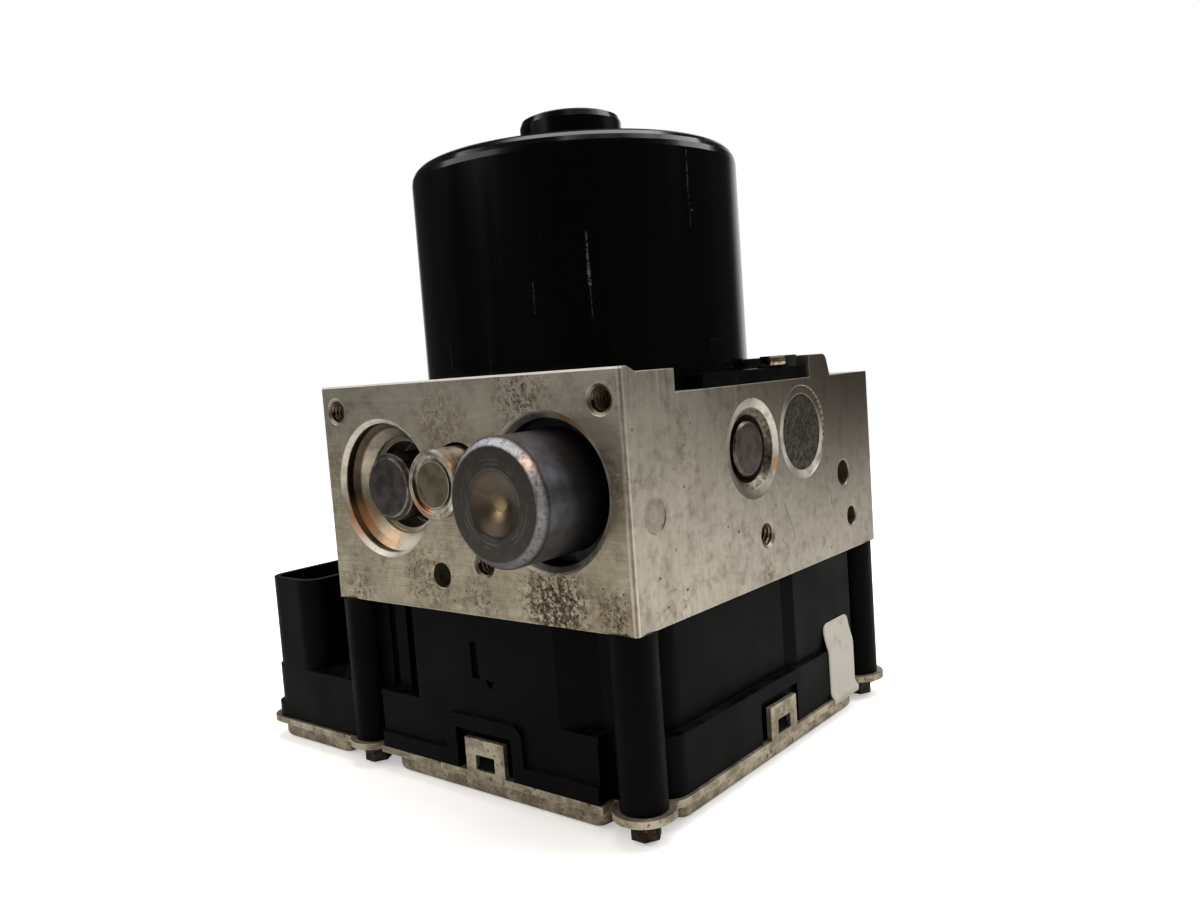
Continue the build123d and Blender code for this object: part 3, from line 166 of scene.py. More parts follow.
class Recipe:
    """Node tree of one material, with the part's own millimetre-true coordinates."""

    def __init__(self, name: str) -> None:
        """Start an empty material.

        Args:
            name: Name of the material.
        """
        self.material = bpy.data.materials.new(name)
        self.material.use_nodes = True
        self.tree = self.material.node_tree
        self.tree.nodes.clear()
        self.place = self.add("ShaderNodeTexCoord").outputs["Object"]

    def add(self, kind: str, settings: dict[str | int, Any] | None = None,
            links: dict[str | int, Socket] | None = None) -> Node:
        """Add a node to this material's tree; see add_node."""
        return add_node(self.tree, kind, settings, links)

    @cached_property
    def where(self) -> bpy.types.bpy_prop_collection:
        """X, Y and Z of a point on the part, in metres."""
        return self.add("ShaderNodeSeparateXYZ", links={0: self.place}).outputs

    @cached_property
    def facing(self) -> bpy.types.bpy_prop_collection:
        """X, Y and Z of the direction that the surface faces."""
        normal = self.add("ShaderNodeNewGeometry").outputs["Normal"]
        return self.add("ShaderNodeSeparateXYZ", links={0: normal}).outputs

    def noise(self, size_mm: float, grain: Grain = Grain.NONE, detail: float = 3.0,
              rough: float = 0.55, shift: float = 0.0, bend: float = 0.0) -> Socket:
        """Return a noise value whose features measure size_mm across the grain.

        Args:
            size_mm: Size of the features.
            grain: Direction along which they are drawn out.
            detail: Number of finer layers.
            rough: Strength of the finer layers.
            shift: Offset in metres, so that two noises differ.
            bend: How far the features are twisted into fibres.

        Returns:
            The noise's value.
        """
        placed = self.add("ShaderNodeMapping", {"Scale": grain.value, "Location": (shift,) * 3},
                          {"Vector": self.place})
        made = self.add("ShaderNodeTexNoise", {"Scale": fineness(size_mm), "Detail": detail,
                                               "Roughness": rough, "Distortion": bend},
                        {"Vector": placed.outputs[0]})
        return made.outputs[0]

    def limits(self, value: Socket, low: float, high: float, start: float = 0.0,
               end: float = 1.0) -> Socket:
        """Map a value smoothly from one range to another.

        Args:
            value: Value to map.
            low: Value that gives start.
            high: Value that gives end.
            start: Result at low.
            end: Result at high.

        Returns:
            The mapped value.
        """
        made = self.add("ShaderNodeMapRange", {"interpolation_type": "SMOOTHSTEP", 1: low, 2: high,
                                               3: start, 4: end}, {0: value})
        return made.outputs[0]

    def math(self, operation: str, *values: Socket | float) -> Socket:
        """Return the result of a math operation on values or sockets.

        Args:
            operation: Blender's name of the operation.
            values: Numbers or sockets, in the node's order.

        Returns:
            The result.
        """
        given = dict(enumerate(values))
        numbers = {k: v for k, v in given.items() if isinstance(v, (int, float))}
        sockets = {k: v for k, v in given.items() if k not in numbers}
        return self.add("ShaderNodeMath", {"operation": operation, **numbers}, sockets).outputs[0]

    def times(self, first: Socket, *others: Socket | float) -> Socket:
        """Return the product of shares, which is high only where all of them are.

        Args:
            first: First share.
            others: The rest, or plain numbers.

        Returns:
            The product.
        """
        for other in others:
            first = self.math("MULTIPLY", first, other)
        return first

    def most(self, first: Socket, *others: Socket | float) -> Socket:
        """Return the highest of several shares.

        Args:
            first: First share.
            others: The rest, or plain numbers.

        Returns:
            The highest.
        """
        for other in others:
            first = self.math("MAXIMUM", first, other)
        return first

    def blend(self, share: Socket, low: Socket | Colour, high: Socket | Colour) -> Socket:
        """Return a colour that goes from low to high as share goes from 0 to 1.

        Args:
            share: Place between the two.
            low: Colour at 0.
            high: Colour at 1.

        Returns:
            The mixed colour.
        """
        given = {6: low, 7: high}
        fixed = {k: v for k, v in given.items() if isinstance(v, tuple)}
        sockets = {k: v for k, v in given.items() if k not in fixed}
        made = self.add("ShaderNodeMix", {"data_type": "RGBA", **fixed}, {0: share, **sockets})
        return made.outputs[2]

    def tint(self, colour: Socket, share: Socket, code: str, amount: float = 1.0) -> Socket:
        """Cover a colour with another one where share is high.

        Args:
            colour: Colour so far.
            share: How fully it is covered, from 0 to 1.
            code: Hex value of the colour that covers it.
            amount: Cover where share is 1.

        Returns:
            The colour that results.
        """
        if amount != 1.0:
            share = self.times(share, amount)
        return self.blend(share, colour, linear(code))

    def distance(self, centre_mm: Point, axis: str) -> Socket:
        """Return the distance in metres from a point, or from the axis named through it.

        Args:
            centre_mm: The point.
            axis: Letter of the axis, or "" for the point itself.

        Returns:
            The distance.
        """
        flat = tuple(0.0 if letter == axis else 1.0 for letter in "XYZ")
        offset = self.add("ShaderNodeVectorMath",
                          {"operation": "SUBTRACT", 1: tuple(c * MM for c in centre_mm)},
                          {0: self.place})
        plane = self.add("ShaderNodeVectorMath", {"operation": "MULTIPLY", 1: flat},
                         {0: offset.outputs[0]})
        return self.add("ShaderNodeVectorMath", {"operation": "LENGTH"},
                        {0: plane.outputs[0]}).outputs["Value"]

    def near(self, centre_mm: Point, axis: str, inner_mm: float, outer_mm: float) -> Socket:
        """Return 1 inside a radius round an axis through a point, fading to 0 further out.

        Args:
            centre_mm: Point on the axis.
            axis: Letter of the axis, or "" for the distance from the point itself.
            inner_mm: Radius up to which the result is 1.
            outer_mm: Radius from which it is 0.

        Returns:
            The share.
        """
        return self.limits(self.distance(centre_mm, axis), inner_mm * MM, outer_mm * MM, 1.0, 0.0)

    def edges(self, width_mm: float) -> Socket:
        """Return a share that is high along convex and concave edges of about width_mm.

        Args:
            width_mm: Width of the worn strip.

        Returns:
            The share.
        """
        bevel = self.add("ShaderNodeBevel", {"samples": 4, "Radius": width_mm * MM})
        plain = self.add("ShaderNodeNewGeometry").outputs["Normal"]
        turned = self.add("ShaderNodeVectorMath", {"operation": "DOT_PRODUCT"},
                          {0: bevel.outputs[0], 1: plain})
        return self.limits(turned.outputs["Value"], 0.995, 0.86, 0.0, 1.0)

    def rounded(self, width_mm: float) -> Socket:
        """Return a normal that turns over softly at edges, so that they catch the light."""
        return self.add("ShaderNodeBevel", {"samples": 6, "Radius": width_mm * MM}).outputs[0]

    def band(self, value: Socket, low_mm: float, high_mm: float, soft_mm: float = 0.15) -> Socket:
        """Return 1 where a length lies between two limits, and 0 outside them.

        Args:
            value: Length in metres.
            low_mm: Lower limit.
            high_mm: Upper limit.
            soft_mm: Width of the fade at each.

        Returns:
            The share.
        """
        rise = self.limits(value, (low_mm - soft_mm) * MM, low_mm * MM)
        fall = self.limits(value, high_mm * MM, (high_mm + soft_mm) * MM, 1.0, 0.0)
        return self.times(rise, fall)

    def specks(self, spacing_mm: float, share: Socket | float, radius: float = 0.34,
               shift: float = 0.0) -> Socket:
        """Return ragged round spots scattered at random.

        Args:
            spacing_mm: Mean distance between the places where a spot may lie.
            share: Share of those places that hold a spot, which may vary over the surface.
            radius: Radius of the largest spots as a share of the spacing.
            shift: Offset in metres, so that two scatters differ.

        Returns:
            1 inside a spot, 0 outside.
        """
        noise = self.add("ShaderNodeTexNoise", {"Scale": fineness(spacing_mm * 0.45),
                                                "Detail": 2.0}, {"Vector": self.place})
        bent = self.add("ShaderNodeVectorMath", {"operation": "MULTIPLY_ADD",
                                                 1: (spacing_mm * 0.7 * MM,) * 3, 2: (shift,) * 3},
                        {0: noise.outputs[1]})
        placed = self.add("ShaderNodeVectorMath", {"operation": "ADD"},
                          {0: self.place, 1: bent.outputs[0]})
        cells = self.add("ShaderNodeTexVoronoi", {"Scale": fineness(spacing_mm)},
                         {"Vector": placed.outputs[0]}).outputs
        pick = self.add("ShaderNodeSeparateColor", links={0: cells["Color"]}).outputs
        held = self.math("LESS_THAN", pick[0], share)
        size = self.times(self.math("ADD", pick[1], 0.35), radius)
        spot = self.limits(self.math("DIVIDE", cells["Distance"], size), 0.55, 1.0, 1.0, 0.0)
        return self.times(held, spot)

    def rings(self, centre_mm: Point, axis: str, pitch_mm: float) -> Socket:
        """Return concentric ripples of 0 to 1 round an axis, as a lathe leaves them."""
        away = self.times(self.distance(centre_mm, axis), 2 * math.pi * fineness(pitch_mm))
        return self.math("MULTIPLY_ADD", self.math("SINE", away), 0.5, 0.5)

    def scratch(self, start_mm: Point, end_mm: Point, width_mm: float) -> Socket:
        """Return a share that is 1 along a straight scratch and 0 beside it.

        Args:
            start_mm: One end of the scratch.
            end_mm: The other end.
            width_mm: Its full width.

        Returns:
            The share.
        """
        start, run = Vector(start_mm) * MM, (Vector(end_mm) - Vector(start_mm)) * MM
        offset = self.add("ShaderNodeVectorMath", {"operation": "SUBTRACT", 1: tuple(start)},
                          {0: self.place}).outputs[0]
        along = self.add("ShaderNodeVectorMath", {
            "operation": "DOT_PRODUCT", 1: tuple(run / run.length_squared)}, {0: offset})
        share = self.add("ShaderNodeClamp", links={0: along.outputs["Value"]}).outputs[0]
        foot = self.add("ShaderNodeVectorMath", {"operation": "SCALE", 0: tuple(run)},
                        {"Scale": share}).outputs[0]
        apart = self.add("ShaderNodeVectorMath", {"operation": "DISTANCE"}, {0: offset, 1: foot})
        return self.limits(apart.outputs["Value"], width_mm * 0.2 * MM, width_mm * 0.5 * MM,
                           1.0, 0.0)

    def side_dots(self, centre_mm: Point, ring_mm: float, dot_mm: float, count: int,
                  span: tuple[float, float]) -> Socket:
        """Return round punch marks spaced along an arc on a face that looks along X.

        Args:
            centre_mm: Centre of the arc.
            ring_mm: Radius of the arc.
            dot_mm: Radius of a mark.
            count: Number of marks on the whole circle.
            span: Lowest and highest angle of the arc, in radians from Y towards Z.

        Returns:
            1 inside a mark, 0 outside.
        """
        offset = self.add("ShaderNodeVectorMath", {
            "operation": "SUBTRACT", 1: tuple(c * MM for c in centre_mm)}, {0: self.place})
        parts = self.add("ShaderNodeSeparateXYZ", links={0: offset.outputs[0]}).outputs
        angle = self.math("ARCTAN2", parts["Z"], parts["Y"])
        step = 2 * math.pi / count
        swing = self.times(self.math("PINGPONG", angle, step / 2), ring_mm * MM)
        out = self.math("SUBTRACT", self.distance(centre_mm, "X"), ring_mm * MM)
        away = self.math("SQRT", self.math("ADD", self.math("POWER", swing, 2.0),
                                           self.math("POWER", self.math("ABSOLUTE", out), 2.0)))
        dot = self.limits(away, dot_mm * 0.5 * MM, dot_mm * MM, 1.0, 0.0)
        inside = self.times(self.math("GREATER_THAN", angle, span[0]),
                            self.math("LESS_THAN", angle, span[1]))
        facing = self.math("GREATER_THAN", parts["X"], -1.0 * MM)
        return self.times(dot, inside, facing)

    def height(self, value: Socket, depth_mm: float, strength: float = 1.0,
               before: Socket | None = None) -> Socket:
        """Return a normal raised by a value of 0 to 1 that stands for depth_mm.

        Args:
            value: Height share.
            depth_mm: Real height of a share of 1.
            strength: How fully the bump is drawn.
            before: Normal of an earlier bump to build on.

        Returns:
            The bumped normal.
        """
        links = {"Height": value} | ({"Normal": before} if before else {})
        made = self.add("ShaderNodeBump", {"Strength": strength, "Distance": depth_mm * MM}, links)
        return made.outputs[0]

    def finish(self, settings: dict[str | int, Any],
               links: dict[str | int, Socket]) -> bpy.types.Material:
        """Close the material with its surface shader.

        Args:
            settings: Values set on the shader's own sockets.
            links: Sockets that vary over the surface.

        Returns:
            The finished material.
        """
        shader = self.add("ShaderNodeBsdfPrincipled", settings, links)
        self.add("ShaderNodeOutputMaterial", links={"Surface": shader.outputs[0]})
        return self.material


@dataclass(frozen=True)
class Finish:
    """Surface of one real material: its colours, polish, grain and wear."""

    name: str
    light: str
    dark: str
    metallic: float = 1.0
    polish: tuple[float, float] = (0.3, 0.45)
    grain: Grain = Grain.NONE
    grain_mm: float = 0.4
    patch_mm: float = 6.0
    speck: str = "#2a2018"
    speck_mm: float = 0.7
    speck_share: float = 0.0
    worn: str = ""
    edge_mm: float = 0.3
    bump_mm: float = 0.01

    def build(self) -> bpy.types.Material:
        """Make a material with patches, specks, grain and worn edges.

        Returns:
            The material.
        """
        recipe = Recipe(self.name)
        patches = recipe.limits(recipe.noise(self.patch_mm), 0.35, 0.65)
        colour = recipe.blend(patches, linear(self.dark), linear(self.light))
        fine = recipe.noise(self.grain_mm, self.grain, detail=4.0, shift=0.03)
        rough = recipe.limits(fine, 0.3, 0.7, *self.polish)
        normal = recipe.height(fine, self.bump_mm, 0.6)
        metal = {"Metallic": self.metallic}
        links = {}
        if self.worn:
            rubbed = recipe.times(recipe.edges(self.edge_mm),
                                  recipe.limits(recipe.noise(1.3, shift=0.07), 0.3, 0.6))
            colour = recipe.tint(colour, rubbed, self.worn)
            rough = recipe.math("SUBTRACT", rough, recipe.times(rubbed, 0.12))
        if self.speck_share > 0:
            spots = recipe.noise(self.speck_mm, detail=2.0, shift=0.011)
            dirt = recipe.limits(spots, 0.72 - 0.3 * self.speck_share,
                                 0.78 - 0.3 * self.speck_share)
            colour = recipe.tint(colour, dirt, self.speck)
            rough = recipe.math("ADD", rough, recipe.times(dirt, 0.3))
            if self.metallic > 0.5:
                metal = {}
                links["Metallic"] = recipe.math("SUBTRACT", self.metallic, recipe.times(dirt, 0.8))
        return recipe.finish(metal, {"Base Color": colour, "Roughness": rough, "Normal": normal,
                                     **links})


@dataclass(frozen=True)
class MilledAluminium:
    """Face-milled aluminium alloy that has stood on a car: fine cutter lines, grey oxide
    that dulls it to beige, brown corrosion pits in patches and a few rust runs."""

    name: str = "face_milled_aluminium"
    bright: str = "#b2aa95"
    dull: str = "#968e7a"
    lit_side: str = "#b6afa5"
    oxide: str = "#665d4e"
    heavy_oxide: str = "#574e41"
    edge: str = "#d6d0c4"
    glint: str = "#f2efe6"
    pit_and_shade: str = "#35261a"
    halo: str = "#5f4a36"
    rust: str = "#8a5420"
    tan: str = "#c8935f"
    fluid: str = "#2f2820"
    shaded: str = "#2c2621"
    cone_shade: str = "#55534f"
    line_mm: float = 0.3
    wear_everywhere: float = 0.12
    # Patches of corrosion: two coordinates on the face, inner and outer radius, and share.
    front_patches: tuple[tuple[float, ...], ...] = (
        (26.0, 47.0, 3.0, 15.0, 1.0), (41.0, 46.5, 1.0, 9.0, 0.75), (20.0, 91.0, 2.0, 14.0, 0.8),
        (-4.0, 86.0, 2.0, 14.0, 0.65), (-12.0, 50.0, 2.0, 14.0, 0.6), (3.0, 61.0, 1.0, 7.0, 0.55),
        (-38.0, 46.0, 1.0, 10.0, 0.55), (4.0, 46.0, 1.0, 10.0, 0.55), (44.0, 72.0, 1.0, 9.0, 0.55),
        (-44.0, 76.0, 1.0, 8.0, 0.5))
    side_patches: tuple[tuple[float, ...], ...] = (
        (3.5, 45.0, 1.0, 7.0, 0.5), (-34.0, 45.0, 1.0, 10.0, 0.4), (-28.0, 76.0, 1.0, 8.0, 0.35),
        (-10.0, 57.0, 1.0, 12.0, 0.25))
    # Scratches of the right face: Y and Z of both ends, and width.
    side_scratches: tuple[tuple[float, ...], ...] = (
        (12.5, 59.5, 16.6, 52.0, 0.35), (16.6, 52.0, 15.8, 49.6, 0.3),
        (10.5, 51.5, 14.0, 48.5, 0.3), (-37.9, 62.3, -35.9, 66.0, 0.25),
        (-40.0, 62.6, -37.4, 67.2, 0.25), (-41.4, 64.2, -40.0, 66.8, 0.25),
        (43.0, 75.0, 43.8, 66.8, 0.3), (36.2, 60.0, 36.9, 55.5, 0.4))

    def wear(self, recipe: Recipe) -> Socket:
        """Return how thickly pits lie: patches at the foot and along the top of the front.

        Args:
            recipe: Material that is being built.

        Returns:
            The share of wear.
        """
        front = [(PLACES.on_front(x, z), *size) for x, z, *size in self.front_patches]
        side = [(PLACES.on_side(y, z), *size) for y, z, *size in self.side_patches]
        total: Socket | float = self.wear_everywhere
        for centre, inner, outer, share in front + side:
            patch = recipe.times(recipe.near(centre, "", inner, outer), share)
            total = recipe.most(patch, total)
        return total

    def dulling(self, recipe: Recipe, side: Socket) -> Socket:
        """Return how far oxide dulls the metal: most at the back and top of the side faces.

        Args:
            recipe: Material that is being built.
            side: 1 on the side faces, 0 on the others.

        Returns:
            The share of oxide.
        """
        back = recipe.limits(recipe.where["Y"], -55.0 * MM, 50.0 * MM)
        high = recipe.limits(recipe.where["Z"], 45.0 * MM, 92.0 * MM)
        return recipe.times(side, back, recipe.math("MULTIPLY_ADD", high, 0.7, 0.3))

    def mouths(self, recipe: Recipe, colour: Socket) -> tuple[Socket, Socket]:
        """Brighten the turned mouths of the bores, soil the pump bore's mouth, and paint shade,
        highlights and warm reflections in the bores.

        Args:
            recipe: Material that is being built.
            colour: Colour of the milled faces.

        Returns:
            The colour with its mouths, and how far the turning left it matt.
        """
        shallow = recipe.band(recipe.where["Y"], -47.2, -45.5)
        turned = recipe.most(recipe.band(recipe.distance(PLACES.right_bore, "Y"), 15.3, 16.9),
                             recipe.band(recipe.distance(PLACES.left_bore, "Y"), 15.3, 16.2))
        sunk = recipe.band(recipe.where["X"], 44.7, 46.45, 0.05)
        # Painted highlight: the turned rings of the right face are lightened only round two lit
        # spots.
        lit = recipe.most(recipe.near((46.0, 7.0, 74.0), "", 7.0, 15.0),
                          recipe.near((46.0, 30.0, 69.0), "", 5.0, 13.0))
        rings = recipe.most(recipe.band(recipe.distance(PLACES.pump_bore, "X"), 9.5, 11.3),
                            recipe.band(recipe.distance(PLACES.plug_bore, "X"), 9.4, 11.2))
        lit_rings = recipe.times(sunk, lit, rings)
        torn = recipe.limits(recipe.noise(2.5, detail=5.0, shift=0.5), 0.3, 0.6, 0.35, 0.9)
        bright = recipe.times(recipe.most(recipe.times(turned, shallow), lit_rings), torn)
        colour = recipe.tint(colour, bright, self.edge)
        # Old brake fluid darkened the pump bore's mouth where nothing wipes it.
        soiled = recipe.times(sunk, recipe.band(recipe.distance(PLACES.pump_bore, "X"), 7.6, 9.2))
        flecks = recipe.limits(recipe.noise(1.1, detail=5.0, rough=0.7, shift=0.41), 0.36, 0.6,
                               0.95, 0.45)
        colour = recipe.tint(colour, recipe.times(soiled, flecks), self.fluid)
        # What follows stays inside the two front bores and off the faces that lie as deep.
        bored = recipe.most(recipe.near(PLACES.left_bore, "Y", 17.0, 17.5),
                            recipe.near(PLACES.right_bore, "Y", 17.4, 17.9))
        colour = self.walls(recipe, colour, bored)
        colour, gleam = self.gleams(recipe, colour, bored, lit_rings)
        return colour, recipe.most(bright, gleam)

    def walls(self, recipe: Recipe, colour: Socket, bored: Socket) -> Socket:
        """Darken the stepped walls of the two front bores, partly as painted shade.

        Args:
            recipe: Material that is being built.
            colour: Colour so far.
            bored: 1 inside the two bores, 0 outside them.

        Returns:
            The colour with its walls.
        """
        deep = recipe.where["Y"]
        # Painted shade in the right bore's arches and on the upper part of the left bore's cone.
        arch = recipe.times(recipe.band(deep, -46.4, -40.0, 0.3), bored,
                            recipe.most(recipe.near((19.0, -45.0, 84.0), "", 5.0, 11.0),
                                        recipe.near((24.0, -45.0, 54.0), "", 5.0, 13.0)))
        cone = recipe.times(recipe.band(deep, -43.2, -38.0, 0.4), bored,
                            recipe.near((-21.0, -42.0, 86.0), "", 8.0, 22.0))
        wall = recipe.times(recipe.band(deep, -45.7, -43.0, 0.4), bored,
                            recipe.near((-36.0, -44.0, 76.0), "", 15.0, 24.0))
        colour = recipe.tint(colour, arch, self.shaded, 0.75)
        colour = recipe.tint(colour, cone, self.cone_shade, 0.6)
        return recipe.tint(colour, wall, self.pit_and_shade, 0.88)

    def gleams(self, recipe: Recipe, colour: Socket, bored: Socket,
               lit_rings: Socket) -> tuple[Socket, Socket]:
        """Paint warm tan spots on the mouths, part stain and part painted warm reflection, and a
        painted highlight in the left bore.

        Args:
            recipe: Material that is being built.
            colour: Colour so far.
            bored: 1 inside the two front bores, 0 outside them.
            lit_rings: 1 where the turned rings of the right face carry a painted highlight, 0
                elsewhere.

        Returns:
            The new colour, and how far the gleams count as turned metal.
        """
        behind = recipe.times(bored, recipe.limits(recipe.where["Y"], PLACES.front * MM,
                                                   (PLACES.front + 0.05) * MM))
        # Painted highlight low in the left bore's cone.
        shine = recipe.times(recipe.near((-20.5, -43.0, 57.0), "", 1.5, 6.5), behind)
        total = shine
        # Warm tan spots: part stain, part painted warm reflection.
        for centre, inner, outer, share, within in (((33.0, -46.3, 84.0), 2.0, 7.0, 0.75, behind),
                                                    ((-39.5, -44.0, 61.0), 2.0, 8.0, 0.6, behind),
                                                    ((46.0, 9.6, 69.5), 0.8, 2.8, 0.8, lit_rings),
                                                    ((-30.0, -42.5, 56.5), 1.0, 5.0, 0.4, behind)):
            warm = recipe.times(recipe.near(centre, "", inner, outer), share, within)
            colour = recipe.tint(colour, warm, self.tan)
            total = recipe.most(total, warm)
        return recipe.tint(colour, shine, self.glint, 0.85), total

    def rims(self, recipe: Recipe, colour: Socket) -> tuple[Socket, Socket]:
        """Darken the threads' mouths, and paint highlights and shade at the top and the corner of
        the front face.

        Args:
            recipe: Material that is being built.
            colour: Colour so far.

        Returns:
            The new colour, and how far the painted highlight along the top is matt.
        """
        below = recipe.band(recipe.where["Y"], -46.9, -44.0, 0.05)
        for _, x, z in PLACES.threads:
            mouth = recipe.times(below, recipe.near(PLACES.on_front(x, z), "Y", 3.2, 3.5))
            colour = recipe.tint(colour, mouth, self.pit_and_shade, 0.6)
        # Painted highlight: a bright line along the top of the front.
        line = recipe.times(recipe.band(recipe.where["Z"], 94.1, 95.0, 0.1),
                            recipe.band(recipe.where["Y"], -47.1, -46.4, 0.1))
        colour = recipe.tint(colour, line, self.glint)
        # Painted highlight beside the front corner, and painted shade on its chamfer.
        corner = recipe.distance((PLACES.side, PLACES.front, PLACES.bore_z), "Z")
        colour = recipe.tint(colour, recipe.band(corner, 0.6, 0.95), self.edge, 0.45)
        colour = recipe.tint(colour, recipe.band(corner, 0.0, 0.3, 0.15), self.pit_and_shade, 0.45)
        return colour, recipe.times(line, 1.6)

    def marks(self, recipe: Recipe) -> Socket:
        """Return the scratches of the right face.

        Args:
            recipe: Material that is being built.

        Returns:
            1 in a scratch, 0 elsewhere.
        """
        total: Socket | float = 0.0
        for y, z, end_y, end_z, width in self.side_scratches:
            line = recipe.scratch(PLACES.on_side(y, z), PLACES.on_side(end_y, end_z), width)
            total = recipe.most(line, total)
        return total

    def corrosion(self, recipe: Recipe, colour: Socket) -> tuple[Socket, Socket, Socket]:
        """Stain the metal and eat pits into it.

        Args:
            recipe: Material that is being built.
            colour: Colour so far.

        Returns:
            The new colour, the pits and the stain round them.
        """
        thick = self.wear(recipe)
        halo = recipe.limits(recipe.noise(1.6, detail=5.0, rough=0.65, shift=0.21), 0.42, 0.62)
        halo = recipe.times(halo, thick, 0.95)
        colour = recipe.tint(colour, halo, self.halo)
        orange = recipe.limits(recipe.noise(2.6, detail=4.0, shift=0.33), 0.62, 0.70)
        orange = recipe.times(orange, recipe.limits(thick, 0.1, 0.5, 0.0, 0.55))
        colour = recipe.tint(colour, orange, self.rust)
        eaten = recipe.noise(0.75, detail=6.0, rough=0.75, shift=0.27)
        limit = recipe.math("MULTIPLY_ADD", thick, -0.2, 0.705)
        ragged = recipe.limits(recipe.math("SUBTRACT", eaten, limit), -0.015, 0.02)
        round_pits = recipe.specks(1.0, recipe.math("MULTIPLY_ADD", thick, 0.4, -0.042), 0.38)
        pits = recipe.most(round_pits, ragged)
        return recipe.tint(colour, pits, self.pit_and_shade, 0.92), pits, halo

    def build(self) -> bpy.types.Material:
        """Make the valve block's material.

        Returns:
            The material.
        """
        recipe = Recipe(self.name)
        side = recipe.limits(recipe.math("ABSOLUTE", recipe.facing["X"]), 0.6, 0.8)
        # The cutter ran along the front face and up the side faces.
        across = recipe.noise(self.line_mm, Grain.ALONG_X, detail=5.0)
        upright = recipe.noise(self.line_mm * 2, Grain.ALONG_Z, detail=4.0, shift=0.05)
        lines = recipe.add("ShaderNodeMix", {"data_type": "FLOAT"},
                           {0: side, 2: across, 3: upright}).outputs[0]
        tone = recipe.limits(recipe.noise(12.0, detail=4.0, rough=0.65, shift=0.02), 0.35, 0.65)
        colour = recipe.blend(tone, linear(self.dull), linear(self.bright))
        # Painted light: the side faces are tinted lighter than the front.
        colour = recipe.tint(colour, side, self.lit_side, 0.55)
        # Painted highlight: the front face is lightened towards its top.
        painted_top_light = recipe.limits(recipe.where["Z"], 72.0 * MM, 92.0 * MM, 0.0, 0.5)
        painted_top_light = recipe.times(painted_top_light, recipe.math("SUBTRACT", 1.0, side))
        colour = recipe.tint(colour, painted_top_light, self.edge)
        streak = recipe.times(recipe.limits(lines, 0.35, 0.65),
                              recipe.math("MULTIPLY_ADD", side, -0.15, 0.22))
        colour = recipe.tint(colour, streak, self.oxide)
        cloud = recipe.limits(recipe.noise(4.0, detail=6.0, rough=0.7, shift=0.09), 0.46, 0.74)
        colour = recipe.tint(colour, cloud, self.oxide, 0.65)
        colour = recipe.tint(colour, self.dulling(recipe, side), self.heavy_oxide)
        # A pin's end left a disc of fine scratches that is duller than the face round it.
        printed = recipe.near(PLACES.on_side(-38.8, 64.8), "", 3.6, 3.9)
        sharp = recipe.times(recipe.edges(0.35), recipe.math("MULTIPLY_ADD", printed, -0.5, 0.55))
        colour = recipe.tint(colour, sharp, self.edge)
        colour = recipe.tint(colour, printed, self.oxide, 0.35)
        colour, pits, halo = self.corrosion(recipe, colour)
        colour, turned = self.mouths(recipe, colour)
        colour, top_highlight = self.rims(recipe, colour)
        matt = recipe.most(turned, top_highlight)
        marks = self.marks(recipe)
        colour = recipe.tint(colour, marks, self.pit_and_shade, 0.6)
        stakes = recipe.side_dots(PLACES.plug_bore, 11.1, 0.5, 44, (-0.2, 1.35))
        colour = recipe.tint(colour, stakes, self.pit_and_shade, 0.6)
        rough = recipe.limits(lines, 0.3, 0.7, 0.34, 0.44)
        rough = recipe.math("ADD", rough, recipe.times(recipe.math("ADD", pits, halo), 0.2))
        metal = recipe.math("SUBTRACT", recipe.math("SUBTRACT", 1.0, recipe.times(matt, 0.45)),
                            recipe.times(pits, 0.5))
        grooves = recipe.height(lines, 0.01, 0.5, recipe.rounded(0.2))
        dents = recipe.most(pits, stakes, recipe.times(marks, 0.5))
        bump = recipe.height(recipe.math("SUBTRACT", 1.0, dents), 0.08, 0.7, grooves)
        return recipe.finish({}, {"Base Color": colour, "Roughness": rough, "Metallic": metal,
                                  "Normal": bump})


